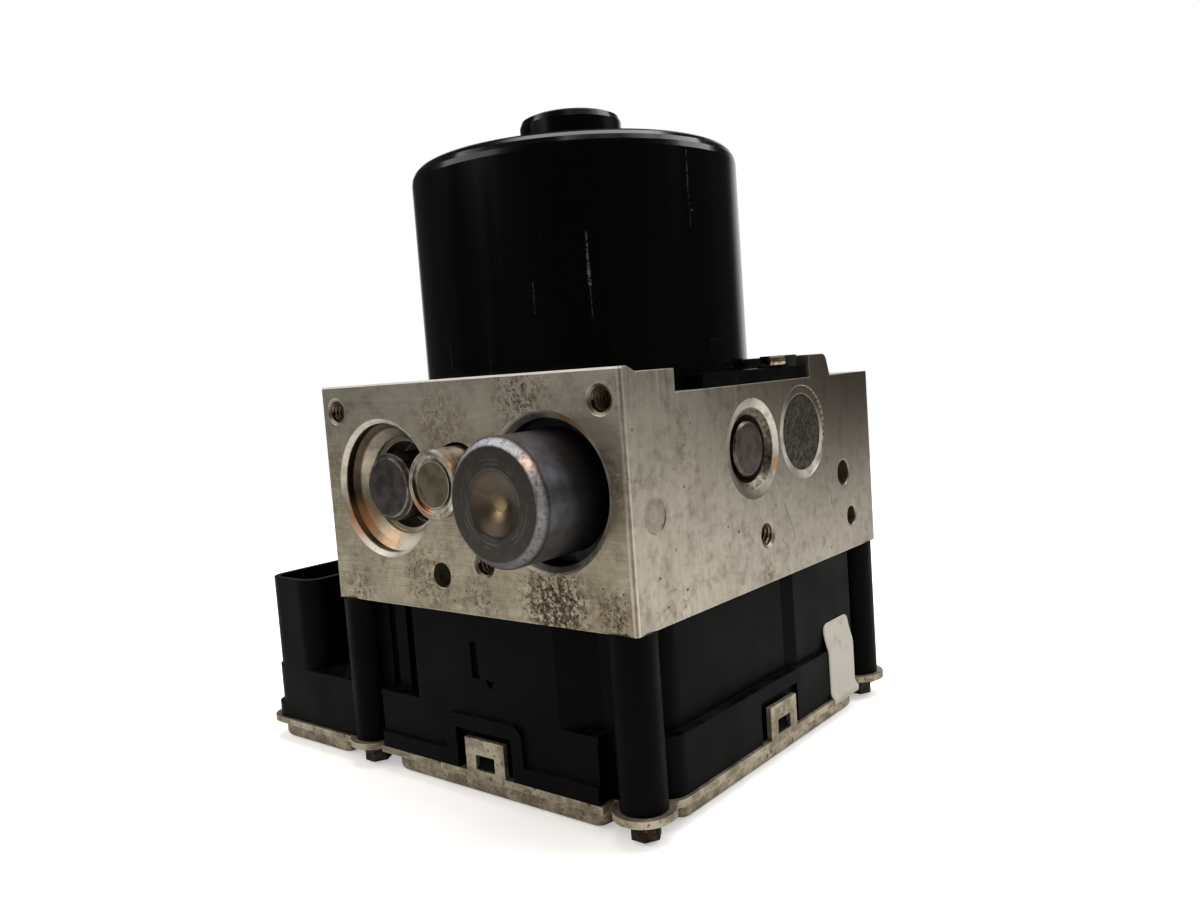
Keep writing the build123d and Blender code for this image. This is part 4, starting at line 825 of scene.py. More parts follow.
@dataclass(frozen=True)
class PhosphatedCup:
    """Deep-drawn steel cap with a dark phosphate coat: satin blue-grey down its side, warm
    grey on its face with the punch's rings, rubbed bright where the face turns over with a
    painted highlight on it, and darkened by painted shade towards the block."""

    name: str = "phosphated_drawn_steel"
    coat: str = "#55555a"
    coat_dark: str = "#45454a"
    face: str = "#3b3630"
    bare: str = "#d3d6db"
    bronze: str = "#544838"
    brassy: str = "#a8926a"
    base_shade: str = "#0e0e10"
    ringed: str = "#8b8377"
    dimple_spot: str = "#1d1915"
    speck: str = "#1c1815"
    axis_x: float = PLACES.bore_x
    axis_z: float = PLACES.bore_z
    face_y: float = -62.1
    rim_mm: float = 11.0

    def build(self) -> bpy.types.Material:
        """Make the cap's material, with a bright rim and a bronze-coloured dimple.

        Returns:
            The material.
        """
        recipe = Recipe(self.name)
        centre = (self.axis_x, self.face_y, self.axis_z)
        patches = recipe.limits(recipe.noise(3.0, detail=5.0), 0.35, 0.65)
        colour = recipe.blend(patches, linear(self.coat_dark), linear(self.coat))
        depth = recipe.where["Y"]
        front = recipe.limits(depth, (self.face_y + 2.2) * MM, (self.face_y + 1.9) * MM)
        soil = recipe.limits(recipe.noise(1.8, detail=5.0, shift=0.6), 0.2, 0.6, 0.6, 1.0)
        colour = recipe.tint(colour, recipe.times(front, soil), self.face)
        # Painted shade: towards the block the coat is darkened to nearly black.
        base_shade = recipe.limits(depth, (self.face_y + 4.5) * MM, (self.face_y + 14.0) * MM, 0.0, 0.85)
        colour = recipe.tint(colour, base_shade, self.base_shade)
        # Only the rounded shoulder close to the face is rubbed bare, and it carries a painted
        # highlight.
        close = recipe.limits(depth, (self.face_y + 1.7) * MM, (self.face_y + 0.9) * MM)
        flat = recipe.near(centre, "Y", self.rim_mm, self.rim_mm + 0.7)
        away = recipe.math("SUBTRACT", 1.0, flat)
        ragged = recipe.limits(recipe.noise(0.9, detail=6.0, rough=0.6, shift=0.05), 0.3, 0.60,
                               0.3, 0.85)
        # Painted highlight: the upper right of the shoulder is made brightest.
        upper_highlight = recipe.near((self.axis_x + 4.0, self.face_y, self.axis_z + 13.0), "", 5.0, 20.0)
        ragged = recipe.times(ragged, recipe.math("MULTIPLY_ADD", upper_highlight, 1.1, 0.25))
        rim = recipe.times(close, away, ragged)
        colour = recipe.tint(colour, rim, self.bare)
        # The punch left faint rings outside the dimple. Its bowl is tinted bronze, with a dark
        # spot and a painted yellow highlight.
        bowl = recipe.near(centre, "Y", 5.2, 6.6)
        ringed = recipe.math("SUBTRACT", recipe.near(centre, "Y", 8.4, 9.4), bowl)
        punched = recipe.times(ringed, front, recipe.rings(centre, "Y", 0.95))
        punched = recipe.times(punched, recipe.limits(recipe.noise(3.0, shift=0.9), 0.4, 0.6))
        colour = recipe.tint(colour, punched, self.ringed, 0.22)
        stain = recipe.limits(recipe.noise(2.2, detail=4.0, shift=0.8), 0.3, 0.6, 0.45, 0.9)
        colour = recipe.tint(colour, recipe.times(bowl, stain), self.bronze)
        # A dark spot beside the dimple's middle.
        dimple_spot = recipe.near((self.axis_x + 2.4, self.face_y, self.axis_z - 0.4), "Y", 1.0, 2.2)
        colour = recipe.tint(colour, dimple_spot, self.dimple_spot, 0.7)
        # Painted highlight: a brassy glint in the dimple.
        glint = recipe.near((self.axis_x + 0.2, self.face_y + 1.0, self.axis_z - 1.0), "Y",
                            0.2, 3.2)
        colour = recipe.tint(colour, glint, self.brassy, 0.8)
        colour = recipe.tint(colour, recipe.specks(2.4, 0.16, 0.16), self.speck, 0.8)
        fine = recipe.noise(0.3, detail=3.0)
        rough = recipe.limits(fine, 0.3, 0.7, 0.34, 0.48)
        rough = recipe.math("SUBTRACT", rough, recipe.times(rim, 0.1))
        rough = recipe.math("SUBTRACT", rough, recipe.times(glint, 0.12))
        bump = recipe.height(punched, 0.03, 0.4, recipe.height(fine, 0.01, 0.4))
        metal = recipe.math("MULTIPLY_ADD", rim, -0.4, 0.85)
        return recipe.finish({}, {"Base Color": colour, "Roughness": rough, "Metallic": metal,
                                  "Normal": bump})


@dataclass(frozen=True)
class NickelPlug:
    """Turned steel plug under electroless nickel: a pale rubbed rim, bronze-coloured low on the
    left, round a disc of soft olive grey with small dark spots."""

    name: str = "nickel_plated_plug"
    disc: str = "#6e6654"
    disc_dark: str = "#574f40"
    rim: str = "#c3bbae"
    bronze: str = "#a8794a"
    side: str = "#7d7367"
    spot: str = "#2c241b"
    worn: str = "#e6e1d6"
    centre: Point = (0.0, -54.7, 72.3)
    disc_mm: float = 5.1

    def build(self) -> bpy.types.Material:
        """Make the middle plug's material.

        Returns:
            The material.
        """
        recipe = Recipe(self.name)
        face = recipe.limits(recipe.where["Y"], (self.centre[1] + 1.3) * MM,
                             (self.centre[1] + 1.1) * MM)
        patches = recipe.limits(recipe.noise(2.5, detail=5.0), 0.35, 0.65)
        colour = recipe.blend(patches, linear(self.side), linear(self.rim))
        inside = recipe.near(self.centre, "Y", self.disc_mm + 0.1, self.disc_mm + 0.5)
        disc = recipe.blend(patches, linear(self.disc_dark), linear(self.disc))
        disc = recipe.tint(disc, recipe.specks(0.9, 0.14, 0.3), self.spot, 0.7)
        colour = recipe.blend(recipe.times(inside, face), colour, disc)
        low = recipe.near((-5.2, self.centre[1], 66.8), "", 1.5, 5.5)
        low = recipe.times(low, recipe.math("SUBTRACT", 1.0, inside))
        colour = recipe.tint(colour, low, self.bronze, 0.8)
        colour = recipe.tint(colour, recipe.edges(0.45), self.worn, 0.8)
        fine = recipe.noise(0.35, detail=3.0)
        rough = recipe.math("ADD", recipe.limits(fine, 0.3, 0.7, 0.28, 0.38),
                            recipe.times(inside, 0.1))
        return recipe.finish({"Metallic": 1.0}, {"Base Color": colour, "Roughness": rough,
                                                 "Normal": recipe.height(fine, 0.01, 0.4)})


@dataclass(frozen=True)
class MottledDisc:
    """Forged steel disc under an old chemical coat: olive grey, broken up by black fibrous
    blotches that lie thickest round its middle."""

    name: str = "chemically_coated_forging"
    light: str = "#484130"
    brown: str = "#31281a"
    black: str = "#100f0b"
    centre: Point = PLACES.plug_bore

    def build(self) -> bpy.types.Material:
        """Make the large side plug's material.

        Returns:
            The material.
        """
        recipe = Recipe(self.name)
        patches = recipe.limits(recipe.noise(2.2, detail=4.0, shift=0.4), 0.38, 0.62)
        colour = recipe.blend(patches, linear(self.brown), linear(self.light))
        fibres = recipe.noise(2.6, detail=5.0, rough=0.6, shift=0.13, bend=2.6)
        heart = recipe.near(self.centre, "X", 0.5, 5.0)
        limit = recipe.math("MULTIPLY_ADD", heart, 0.05, 0.49)
        dark = recipe.limits(recipe.math("SUBTRACT", fibres, limit), -0.04, 0.03, 1.0, 0.0)
        colour = recipe.tint(colour, dark, self.black, 0.85)
        edge = recipe.near(self.centre, "X", 8.3, 9.0)
        colour = recipe.tint(colour, recipe.math("SUBTRACT", 1.0, edge), self.black, 0.5)
        rough = recipe.limits(dark, 0.0, 1.0, 0.42, 0.62)
        return recipe.finish({"Metallic": 0.7}, {
            "Base Color": colour, "Roughness": rough, "Normal": recipe.height(fibres, 0.08, 0.5)})


@dataclass(frozen=True)
class StovedEnamel:
    """Black stoved enamel on drawn steel: a deep gloss coat with long scuffs and dust."""

    name: str = "black_stoved_enamel"
    coat: str = "#020202"
    scuff: str = "#8a8377"
    bright: str = "#a3a4a6"
    scratches: tuple[tuple[Point, Point, float], ...] = (
        ((26.6, -29.5, 123.2), (26.6, -29.6, 116.8), 0.6),
        ((26.6, -29.6, 116.8), (26.7, -29.5, 112.0), 0.9),
        ((26.7, -29.5, 112.0), (26.7, -29.4, 105.0), 0.25),
        ((16.5, -36.2, 113.5), (16.5, -36.2, 107.0), 0.22),
        ((38.9, -8.2, 140.4), (38.8, -8.4, 131.0), 0.3),
        ((38.9, -8.2, 131.0), (38.9, -8.2, 124.0), 0.15),
        ((39.6, -3.7, 99.0), (39.6, -0.2, 98.9), 0.15),
        ((39.5, -4.0, 95.5), (39.6, 0.6, 95.3), 0.15),
        ((39.6, -3.8, 99.0), (39.6, -3.9, 95.5), 0.12),
        ((-7.7, -39.0, 102.0), (-7.3, -39.1, 96.3), 0.2))
    dents: tuple[Point, ...] = ((39.0, -7.6, 126.9), (39.5, -4.4, 123.4), (39.6, 3.4, 123.4),
                                (39.6, 0.8, 122.2))

    def damage(self, recipe: Recipe) -> tuple[Socket, Socket]:
        """Return where the coat is scratched through, more the wider the scratch, and dented.

        Args:
            recipe: Material that is being built.

        Returns:
            The share of bare metal, and the dents.
        """
        through: Socket | float = 0.0
        for start, end, width in self.scratches:
            line = recipe.times(recipe.scratch(start, end, max(width, 0.35)),
                                min(1.0, width * 1.2))
            through = recipe.most(line, through)
        broken = recipe.limits(recipe.noise(0.45, detail=5.0, rough=0.7, shift=0.44), 0.44, 0.64)
        dented: Socket | float = 0.0
        for place in self.dents:
            dented = recipe.most(recipe.near(place, "", 0.2, 0.8), dented)
        return recipe.times(through, broken), dented

    def build(self) -> bpy.types.Material:
        """Make the motor's material.

        Returns:
            The material.
        """
        recipe = Recipe(self.name)
        scratch = recipe.noise(0.6, Grain.ALONG_Z, detail=3.0, shift=0.3)
        band = recipe.limits(recipe.noise(9.0, detail=2.0, shift=0.6), 0.5, 0.7)
        marks = recipe.times(recipe.limits(scratch, 0.72, 0.78), band)
        dust = recipe.limits(recipe.noise(0.35, detail=1.0, shift=0.8), 0.74, 0.80)
        shown = recipe.most(recipe.times(marks, 0.5), recipe.times(dust, 0.12))
        colour = recipe.blend(shown, linear(self.coat), linear(self.scuff))
        through, dented = self.damage(recipe)
        colour = recipe.tint(colour, through, self.bright, 0.6)
        wavy = recipe.noise(7.0, Grain.ALONG_Z, detail=2.0)
        rough = recipe.limits(wavy, 0.3, 0.7, 0.12, 0.22)
        rough = recipe.math("ADD", rough, recipe.times(marks, 0.3))
        normal = recipe.height(dented, 0.08, 0.8, recipe.height(wavy, 0.02, 0.2))
        return recipe.finish({"IOR": 1.45, "Specular IOR Level": 0.3},
                             {"Base Color": colour, "Roughness": rough, "Normal": normal,
                              "Metallic": recipe.times(through, 0.6)})


@dataclass(frozen=True)
class MouldedNylon:
    """Black glass-filled nylon from a spark-eroded mould: a fine matt grain with dust."""

    name: str = "moulded_glass_filled_nylon"
    body: str = "#030303"
    dust: str = "#211f1b"

    def build(self) -> bpy.types.Material:
        """Make the control unit housing's material.

        Returns:
            The material.
        """
        recipe = Recipe(self.name)
        lying = recipe.limits(recipe.facing["Z"], 0.4, 0.9)
        cloud = recipe.limits(recipe.noise(6.0, detail=5.0), 0.42, 0.7)
        settled = recipe.times(recipe.math("ADD", recipe.times(lying, 0.5), 0.06), cloud)
        rubbed = recipe.times(recipe.edges(0.35), 0.3)
        dusty = recipe.most(settled, rubbed)
        colour = recipe.blend(dusty, linear(self.body), linear(self.dust))
        scuffs = recipe.limits(recipe.noise(0.5, Grain.ALONG_Z, detail=2.0, shift=0.7), 0.72, 0.8)
        colour = recipe.tint(colour, scuffs, self.dust, 0.25)
        # Spark grain is about 0.1 mm and is drawn at 0.25 mm so that it shows.
        fine = recipe.noise(0.25, detail=2.0)
        rough = recipe.limits(recipe.noise(12.0), 0.3, 0.7, 0.42, 0.55)
        return recipe.finish({"Metallic": 0.0, "IOR": 1.4, "Specular IOR Level": 0.06}, {
            "Base Color": colour, "Roughness": rough,
            "Normal": recipe.height(fine, 0.012, 0.5, recipe.rounded(0.35))})


@dataclass(frozen=True)
class TappedThread:
    """Tapped aluminium: crests burnished bright by screws, brown-black in the roots."""

    name: str = "tapped_aluminium"
    crest: str = "#e0d6c6"
    flank: str = "#6f5c47"
    root: str = "#0d0906"
    layer: str = "crest"

    def build(self) -> bpy.types.Material:
        """Make the threads' material, which reads how near a point lies to the crest.

        Returns:
            The material.
        """
        recipe = Recipe(self.name)
        near = recipe.add("ShaderNodeAttribute", {"attribute_name": self.layer}).outputs["Fac"]
        torn = recipe.noise(0.6, detail=4.0)
        high = recipe.math("ADD", near, recipe.math("MULTIPLY_ADD", torn, 0.3, -0.15))
        colour = recipe.blend(recipe.limits(high, 0.05, 0.6), linear(self.root),
                              linear(self.flank))
        colour = recipe.tint(colour, recipe.limits(high, 0.75, 0.95), self.crest)
        rough = recipe.limits(torn, 0.3, 0.7, 0.25, 0.4)
        return recipe.finish({"Metallic": 0.95}, {"Base Color": colour, "Roughness": rough,
                                                  "Normal": recipe.height(torn, 0.02, 0.4)})


@dataclass(frozen=True)
class PressedCover:
    """Pressed aluminium sheet that has corroded: dull pale metal with dark crusts."""

    name: str = "pressed_aluminium_sheet"
    light: str = "#b9b09b"
    dark: str = "#857b66"
    crust: str = "#2a251c"
    worn: str = "#d9d4ca"

    def build(self) -> bpy.types.Material:
        """Make the cover's material.

        Returns:
            The material.
        """
        recipe = Recipe(self.name)
        patches = recipe.limits(recipe.noise(5.0, detail=5.0, rough=0.65), 0.38, 0.62)
        colour = recipe.blend(patches, linear(self.dark), linear(self.light))
        spots = recipe.noise(0.9, detail=6.0, rough=0.74, shift=0.017)
        crusts = recipe.most(recipe.limits(spots, 0.58, 0.63), recipe.specks(1.5, 0.22, 0.34))
        colour = recipe.tint(colour, crusts, self.crust, 0.85)
        rubbed = recipe.times(recipe.edges(0.3), recipe.math("SUBTRACT", 1.0, crusts))
        colour = recipe.tint(colour, rubbed, self.worn, 0.6)
        rough = recipe.limits(recipe.noise(0.8, detail=3.0, shift=0.2), 0.3, 0.7, 0.4, 0.6)
        metal = recipe.math("SUBTRACT", 0.95, recipe.times(crusts, 0.8))
        fine = recipe.height(recipe.noise(0.5, detail=3.0), 0.03, 0.5)
        return recipe.finish({}, {"Base Color": colour, "Roughness": rough, "Metallic": metal,
                                  "Normal": recipe.height(crusts, 0.1, 0.5, fine)})


@dataclass(frozen=True)
class PaperLabel:
    """Coated white paper: bright and slightly satin, with a faint fibre and grey handling."""

    name: str = "coated_white_paper"
    paper: str = "#b1aca1"
    handled: str = "#9c978c"

    def build(self) -> bpy.types.Material:
        """Make the blank label's material.

        Returns:
            The material.
        """
        recipe = Recipe(self.name)
        soiled = recipe.limits(recipe.noise(4.0, detail=5.0), 0.5, 0.75)
        colour = recipe.blend(soiled, linear(self.paper), linear(self.handled))
        fibre = recipe.noise(0.3, detail=3.0)
        rough = recipe.limits(fibre, 0.3, 0.7, 0.4, 0.5)
        return recipe.finish({"Metallic": 0.0, "IOR": 1.5}, {
            "Base Color": colour, "Roughness": rough, "Normal": recipe.height(fibre, 0.01, 0.5)})


class Stock:
    """Every material, built once and handed out by name."""

    # Each finish is named for what the real one is and how its surface was made.
    PLAIN = (
        # Steel blackened in hot oil: dark brown-grey with a rubbed crown.
        Finish("oil_blackened_steel", "#484240", "#302c2a", 0.9, (0.32, 0.5), worn="#c8c2b8",
               edge_mm=0.8, speck_share=0.12, patch_mm=3.0),
        # Turned carbon steel left bare: brownish grey with concentric dullness.
        Finish("turned_bare_steel", "#5a4f49", "#3f3733", 1.0, (0.35, 0.5), speck_share=0.2,
               worn="#b8b0a5", edge_mm=0.35, patch_mm=3.0),
        # Black cap screw with a satin coat.
        Finish("black_coated_screw", "#141414", "#0c0c0c", 0.3, (0.3, 0.45), worn="#5a564f"),
        # Cut and bent spring strip, one side tarnished brown.
        Finish("tarnished_spring_strip", "#b3a48c", "#6d5434", 1.0, (0.2, 0.4), patch_mm=1.5),
        # Steel screw that has rusted through its plating: dark brown and rough.
        Finish("corroded_screw_steel", "#4a3f36", "#241c16", 0.7, (0.5, 0.75), grain_mm=0.6,
               speck="#5d3b1c", speck_share=0.35, patch_mm=1.5, bump_mm=0.05),
        # Bright hard-drawn wire: clean grey with a slight satin.
        Finish("drawn_spring_wire", "#8d8d8e", "#6e6e70", 1.0, (0.25, 0.4)),
        # Spring steel under a phosphate coat: nearly black and matt.
        Finish("phosphated_spring_steel", "#2b2b2d", "#1b1b1d", 0.8, (0.45, 0.6)),
        # Cylindrically ground steel: pale, with a tight mirror-like line of light.
        Finish("ground_steel", "#b9b9ba", "#9d9d9f", 1.0, (0.15, 0.28), Grain.ALONG_X),
        # Turned valve steel: mid grey with fine tool marks that soften the light.
        Finish("turned_valve_steel", "#a4a4a6", "#88888a", 1.0, (0.25, 0.38)),
        # Stacked sheet steel: dull grey, with streaks where the sheets meet.
        Finish("laminated_core_steel", "#6b6b6d", "#505052", 0.9, (0.4, 0.6), Grain.ALONG_X, 0.5),
        # Copper wire under clear enamel: deep reddish brown with a gloss.
        Finish("enamelled_copper_wire", "#a8552a", "#7d3a18", 0.8, (0.3, 0.45)),
        # Sintered ferrite: charcoal grey and quite matt.
        Finish("pressed_ferrite", "#3a3a3c", "#2a2a2c", 0.1, (0.6, 0.8)),
        # Pressed carbon: nearly black and matt.
        Finish("pressed_carbon", "#202021", "#151516", 0.0, (0.5, 0.7)),
        # Clear anodised aluminium: pale grey with a soft sheen.
        Finish("anodised_aluminium", "#b5b5b2", "#9b9b98", 1.0, (0.3, 0.42)),
        # Oil-soaked sintered bronze: brown-yellow and porous.
        Finish("sintered_bronze", "#9c6f3e", "#7a5228", 0.9, (0.45, 0.6), grain_mm=0.3),
        # Black nylon from a plain mould: even and half matt.
        Finish("moulded_black_nylon", "#1e1e1e", "#171717", 0.0, (0.45, 0.6)),
        # Glass-fibre board under green lacquer: dark green with a gloss.
        Finish("coated_glass_epoxy", "#15512c", "#0f3f21", 0.0, (0.2, 0.35)),
        # Moulded seal rubber: black and matt.
        Finish("moulded_seal_rubber", "#1a1a1a", "#121212", 0.0, (0.6, 0.8)),
        # Tinned copper: warm silver with a soft shine.
        Finish("tinned_copper", "#c9c4b8", "#a9a498", 1.0, (0.2, 0.35)),
    )

    def __init__(self) -> None:
        """Build every material."""
        special = (MilledAluminium(), PhosphatedCup(), NickelPlug(), MottledDisc(), StovedEnamel(),
                   MouldedNylon(), TappedThread(), PressedCover(), PaperLabel())
        self.made = {finish.name: finish.build() for finish in (*self.PLAIN, *special)}

    def dress(self, name: str, *nodes: str) -> None:
        """Give a material to CAD nodes.

        Args:
            name: Name of the material.
            nodes: Names of the nodes.
        """
        for node in nodes:
            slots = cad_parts[node].data.materials
            slots.clear()
            slots.append(self.made[name])
            LOG.info("dressed %s in %s", node, name)

    def cover(self, piece: bpy.types.Object, name: str) -> None:
        """Give a material to a piece of the scene's own.

        Args:
            piece: The piece.
            name: Name of the material.
        """
        piece.data.materials.append(self.made[name])
        LOG.info("made %s in %s", piece.name, name)


def mesh_piece(name: str, points: list[Point], faces: list[tuple[int, ...]],
               smooth: bool = True) -> bpy.types.Object:
    """Make a mesh object from points in millimetres and link it to the scene.

    Args:
        name: Name of the piece.
        points: Corner points.
        faces: Corner numbers of each face.
        smooth: Whether its faces are shaded smooth.

    Returns:
        The new object.
    """
    mesh = bpy.data.meshes.new(name)
    mesh.from_pydata([tuple(c * MM for c in p) for p in points], [], faces)
    mesh.validate()
    mesh.polygons.foreach_set("use_smooth", [smooth] * len(mesh.polygons))
    mesh.update()
    piece = bpy.data.objects.new(name, mesh)
    bpy.context.scene.collection.objects.link(piece)
    return piece


@dataclass
class TappedHole:
    """Helical thread on the wall of a fixing hole."""

    name: str
    mouth: Point
    inward: Point
    crest: float = 2.12
    root: float = 2.49
    pitch: float = 1.0
    start: float = 0.7
    depth: float = 10.0
    steps: int = 36

    def build(self, stock: Stock) -> bpy.types.Object:
        """Return the thread as a ribbon that winds down the hole.

        Args:
            stock: Materials.

        Returns:
            The piece.
        """
        along = Vector(self.inward)
        turn = along.to_track_quat("Z", "Y").to_matrix()
        profile = ((0.0, self.root), (0.42, self.crest), (0.58, self.crest), (1.0, self.root))
        points: list[Point] = []
        faces: list[tuple[int, ...]] = []
        count = int((self.depth - self.start) / self.pitch * self.steps)
        wide = len(profile)
        for i in range(count + 1):
            angle = 2 * math.pi * i / self.steps
            low = self.start + self.pitch * (i / self.steps - 0.5)
            for share, radius in profile:
                local = Vector((radius * math.cos(angle), radius * math.sin(angle),
                                low + share * self.pitch))
                points.append(tuple(Vector(self.mouth) + turn @ local))
            if i:
                first = (i - 1) * wide
                faces += [(first + j, first + j + 1, first + wide + j + 1, first + wide + j)
                          for j in range(wide - 1)]
        piece = mesh_piece(self.name, points, faces)
        layer = piece.data.attributes.new("crest", "FLOAT", "POINT")
        layer.data.foreach_set("value", [float(radius == self.crest) for _ in range(count + 1)
                                         for _, radius in profile])
        stock.cover(piece, "tapped_aluminium")
        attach(piece, "unit")
        return piece


@dataclass(frozen=True)
class LiveSpring:
    """Spring that stands for the rigid solid, made of the solid's turns near its seat."""

    name: str
    node: str
    seat: Point
    push: Point
    joint: str = ""
    stroke: float = 0.0
    reach: float = 60.0

    def build(self, stock: Stock) -> bpy.types.Object:
        """Copy the solid's turns near the seat, and hide the solid.

        Args:
            stock: Materials.

        Returns:
            The piece.
        """
        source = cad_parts[self.node]
        mesh = source.data.copy()
        mesh.transform(source.matrix_world)
        mesh.materials.clear()
        seat, push = Vector(self.seat) * MM, Vector(self.push)
        turns = bmesh.new()
        turns.from_mesh(mesh)
        far = [v for v in turns.verts if (v.co - seat).length > self.reach * MM]
        bmesh.ops.delete(turns, geom=far, context="VERTS")
        turns.to_mesh(mesh)
        turns.free()
        piece = bpy.data.objects.new(self.name, mesh)
        bpy.context.scene.collection.objects.link(piece)
        stock.cover(piece, "drawn_spring_wire")
        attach(piece, "unit")
        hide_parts(self.node)
        if self.joint:
            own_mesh(piece)
        return piece


@dataclass
class ValveBlock:
    """Machined block with its plugs, cup and fixing threads."""

    left_seat_y: float = -40.39
    right_seat_y: float = -58.39
    left_stroke: float = 5.0
    right_stroke: float = 9.0
    pump_seat_x: float = 35.9
    pump_stroke: float = 2.4

    def holes(self) -> list[TappedHole]:
        """Return every threaded hole of the front and the sides.

        Returns:
            The holes.
        """
        front = [TappedHole(f"thread_front_{name}", PLACES.on_front(x, z), (0.0, 1.0, 0.0))
                 for name, x, z in PLACES.threads]
        sides = [TappedHole(f"thread_side_{name}", (sign * PLACES.side, PLACES.thread_y,
                                                    PLACES.thread_z), (-sign, 0.0, 0.0))
                 for name, sign in (("right", 1.0), ("left", -1.0))]
        return front + sides

    def springs(self) -> list[LiveSpring]:
        """Return the springs of the accumulators and the pump.

        Returns:
            The springs.
        """
        accumulators = [
            LiveSpring(f"coil_accumulator_{name}", f"accumulator_spring_{name}",
                       (sign * PLACES.bore_x, seat, PLACES.bore_z), (0.0, 1.0, 0.0),
                       f"accumulator_stroke_{name}", stroke)
            for name, sign, seat, stroke in (("left", -1.0, self.left_seat_y, self.left_stroke),
                                             ("right", 1.0, self.right_seat_y, self.right_stroke))]
        pump = [LiveSpring(f"coil_pump_{name}", f"pump_spring_{name}",
                           (sign * self.pump_seat_x, 0.0, PLACES.pump_z), (-sign, 0.0, 0.0),
                           f"pump_stroke_{name}", self.pump_stroke)
                for name, sign in (("left", -1.0), ("right", 1.0))]
        return accumulators + pump

    def build(self, stock: Stock) -> None:
        """Make the threads and the springs."""
        for part in (*self.holes(), *self.springs()):
            part.build(stock)

    def dress(self, stock: Stock) -> None:
        """Give the block and what closes its bores their finishes.

        Args:
            stock: Materials.
        """
        stock.dress("face_milled_aluminium", "hydraulic_block")
        stock.dress("phosphated_drawn_steel", "accumulator_cup")
        stock.dress("oil_blackened_steel", "accumulator_post")
        stock.dress("nickel_plated_plug", "middle_plug")
        stock.dress("turned_bare_steel", "pump_plug_left", "pump_plug_right")
        stock.dress("chemically_coated_forging", "side_plug")
        stock.dress("phosphated_spring_steel", "cup_snap_ring")
        stock.dress("drawn_spring_wire", "accumulator_spring_left", "accumulator_spring_right",
                    "pump_spring_left", "pump_spring_right")
        stock.dress("anodised_aluminium", "accumulator_piston_left", "accumulator_piston_right")
        stock.dress("ground_steel", "pump_piston_left", "pump_piston_right")
        stock.dress("turned_valve_steel", "pump_sleeve_left", "pump_sleeve_right")


@dataclass
class PumpMotor:
    """Enamelled motor with its plate, screws and inner parts."""

    brush_seat: float = 27.9
    brush_z: float = 102.0
    brush_wear: float = 3.0

    def build(self, stock: Stock) -> None:
        """Make the springs that press the brushes.

        Args:
            stock: Materials.
        """
        for side, sign in (("left", -1.0), ("right", 1.0)):
            LiveSpring(f"coil_brush_{side}", "brush_springs",
                       (sign * self.brush_seat, 0.0, self.brush_z), (-sign, 0.0, 0.0),
                       f"brush_slide_{side}", self.brush_wear, 12.0).build(stock)

    def dress(self, stock: Stock) -> None:
        """Give the motor's pieces their finishes.

        Args:
            stock: Materials.
        """
        stock.dress("black_stoved_enamel", "motor_can", "motor_flange")
        stock.dress("black_coated_screw", "motor_screws")
        stock.dress("tarnished_spring_strip", "earth_tab")
        stock.dress("ground_steel", "rotor_shaft", "eccentric_bearing", "lower_bearing")
        stock.dress("laminated_core_steel", "rotor_core")
        stock.dress("enamelled_copper_wire", "rotor_windings", "commutator")
        stock.dress("pressed_ferrite", "magnets")
        stock.dress("sintered_bronze", "top_bush", "shaft_end_bush")
        stock.dress("moulded_black_nylon", "brush_holder", "motor_feed")
        stock.dress("pressed_carbon", "brush_left", "brush_right")
        stock.dress("drawn_spring_wire", "brush_springs")
        stock.dress("tinned_copper", "motor_pins")


@dataclass
class ValveSet:
    """Eight solenoid valves and their coils."""

    count: int = 4
    first_x: float = -30.0
    pitch: float = 20.0
    inlet_y: float = 13.5
    outlet_y: float = 34.3
    seat_z: float = 43.9
    lift: float = 0.35

    def build(self, stock: Stock) -> None:
        """Make the springs of the inlet and the outlet valves.

        Args:
            stock: Materials.
        """
        for i in range(self.count):
            x = self.first_x + self.pitch * i
            LiveSpring(f"coil_inlet_{i + 1}", "valve_springs", (x, self.inlet_y, self.seat_z),
                       (0.0, 0.0, -1.0), f"inlet_valve_{i + 1}", self.lift, 8.0).build(stock)
            LiveSpring(f"coil_outlet_{i + 1}", "valve_springs", (x, self.outlet_y, self.seat_z),
                       (0.0, 0.0, -1.0), reach=8.0).build(stock)

    def dress(self, stock: Stock) -> None:
        """Give the valves' pieces their finishes.

        Args:
            stock: Materials.
        """
        plungers = [f"{kind}_plunger_{i + 1}" for kind in ("inlet", "outlet")
                    for i in range(self.count)]
        stock.dress("turned_valve_steel", "valve_bodies", *plungers)
        stock.dress("drawn_spring_wire", "valve_springs")
        stock.dress("moulded_black_nylon", "coil_bobbins")
        stock.dress("enamelled_copper_wire", "solenoid_coils")
        stock.dress("laminated_core_steel", "coil_yokes")
        stock.dress("tinned_copper", "coil_pins")


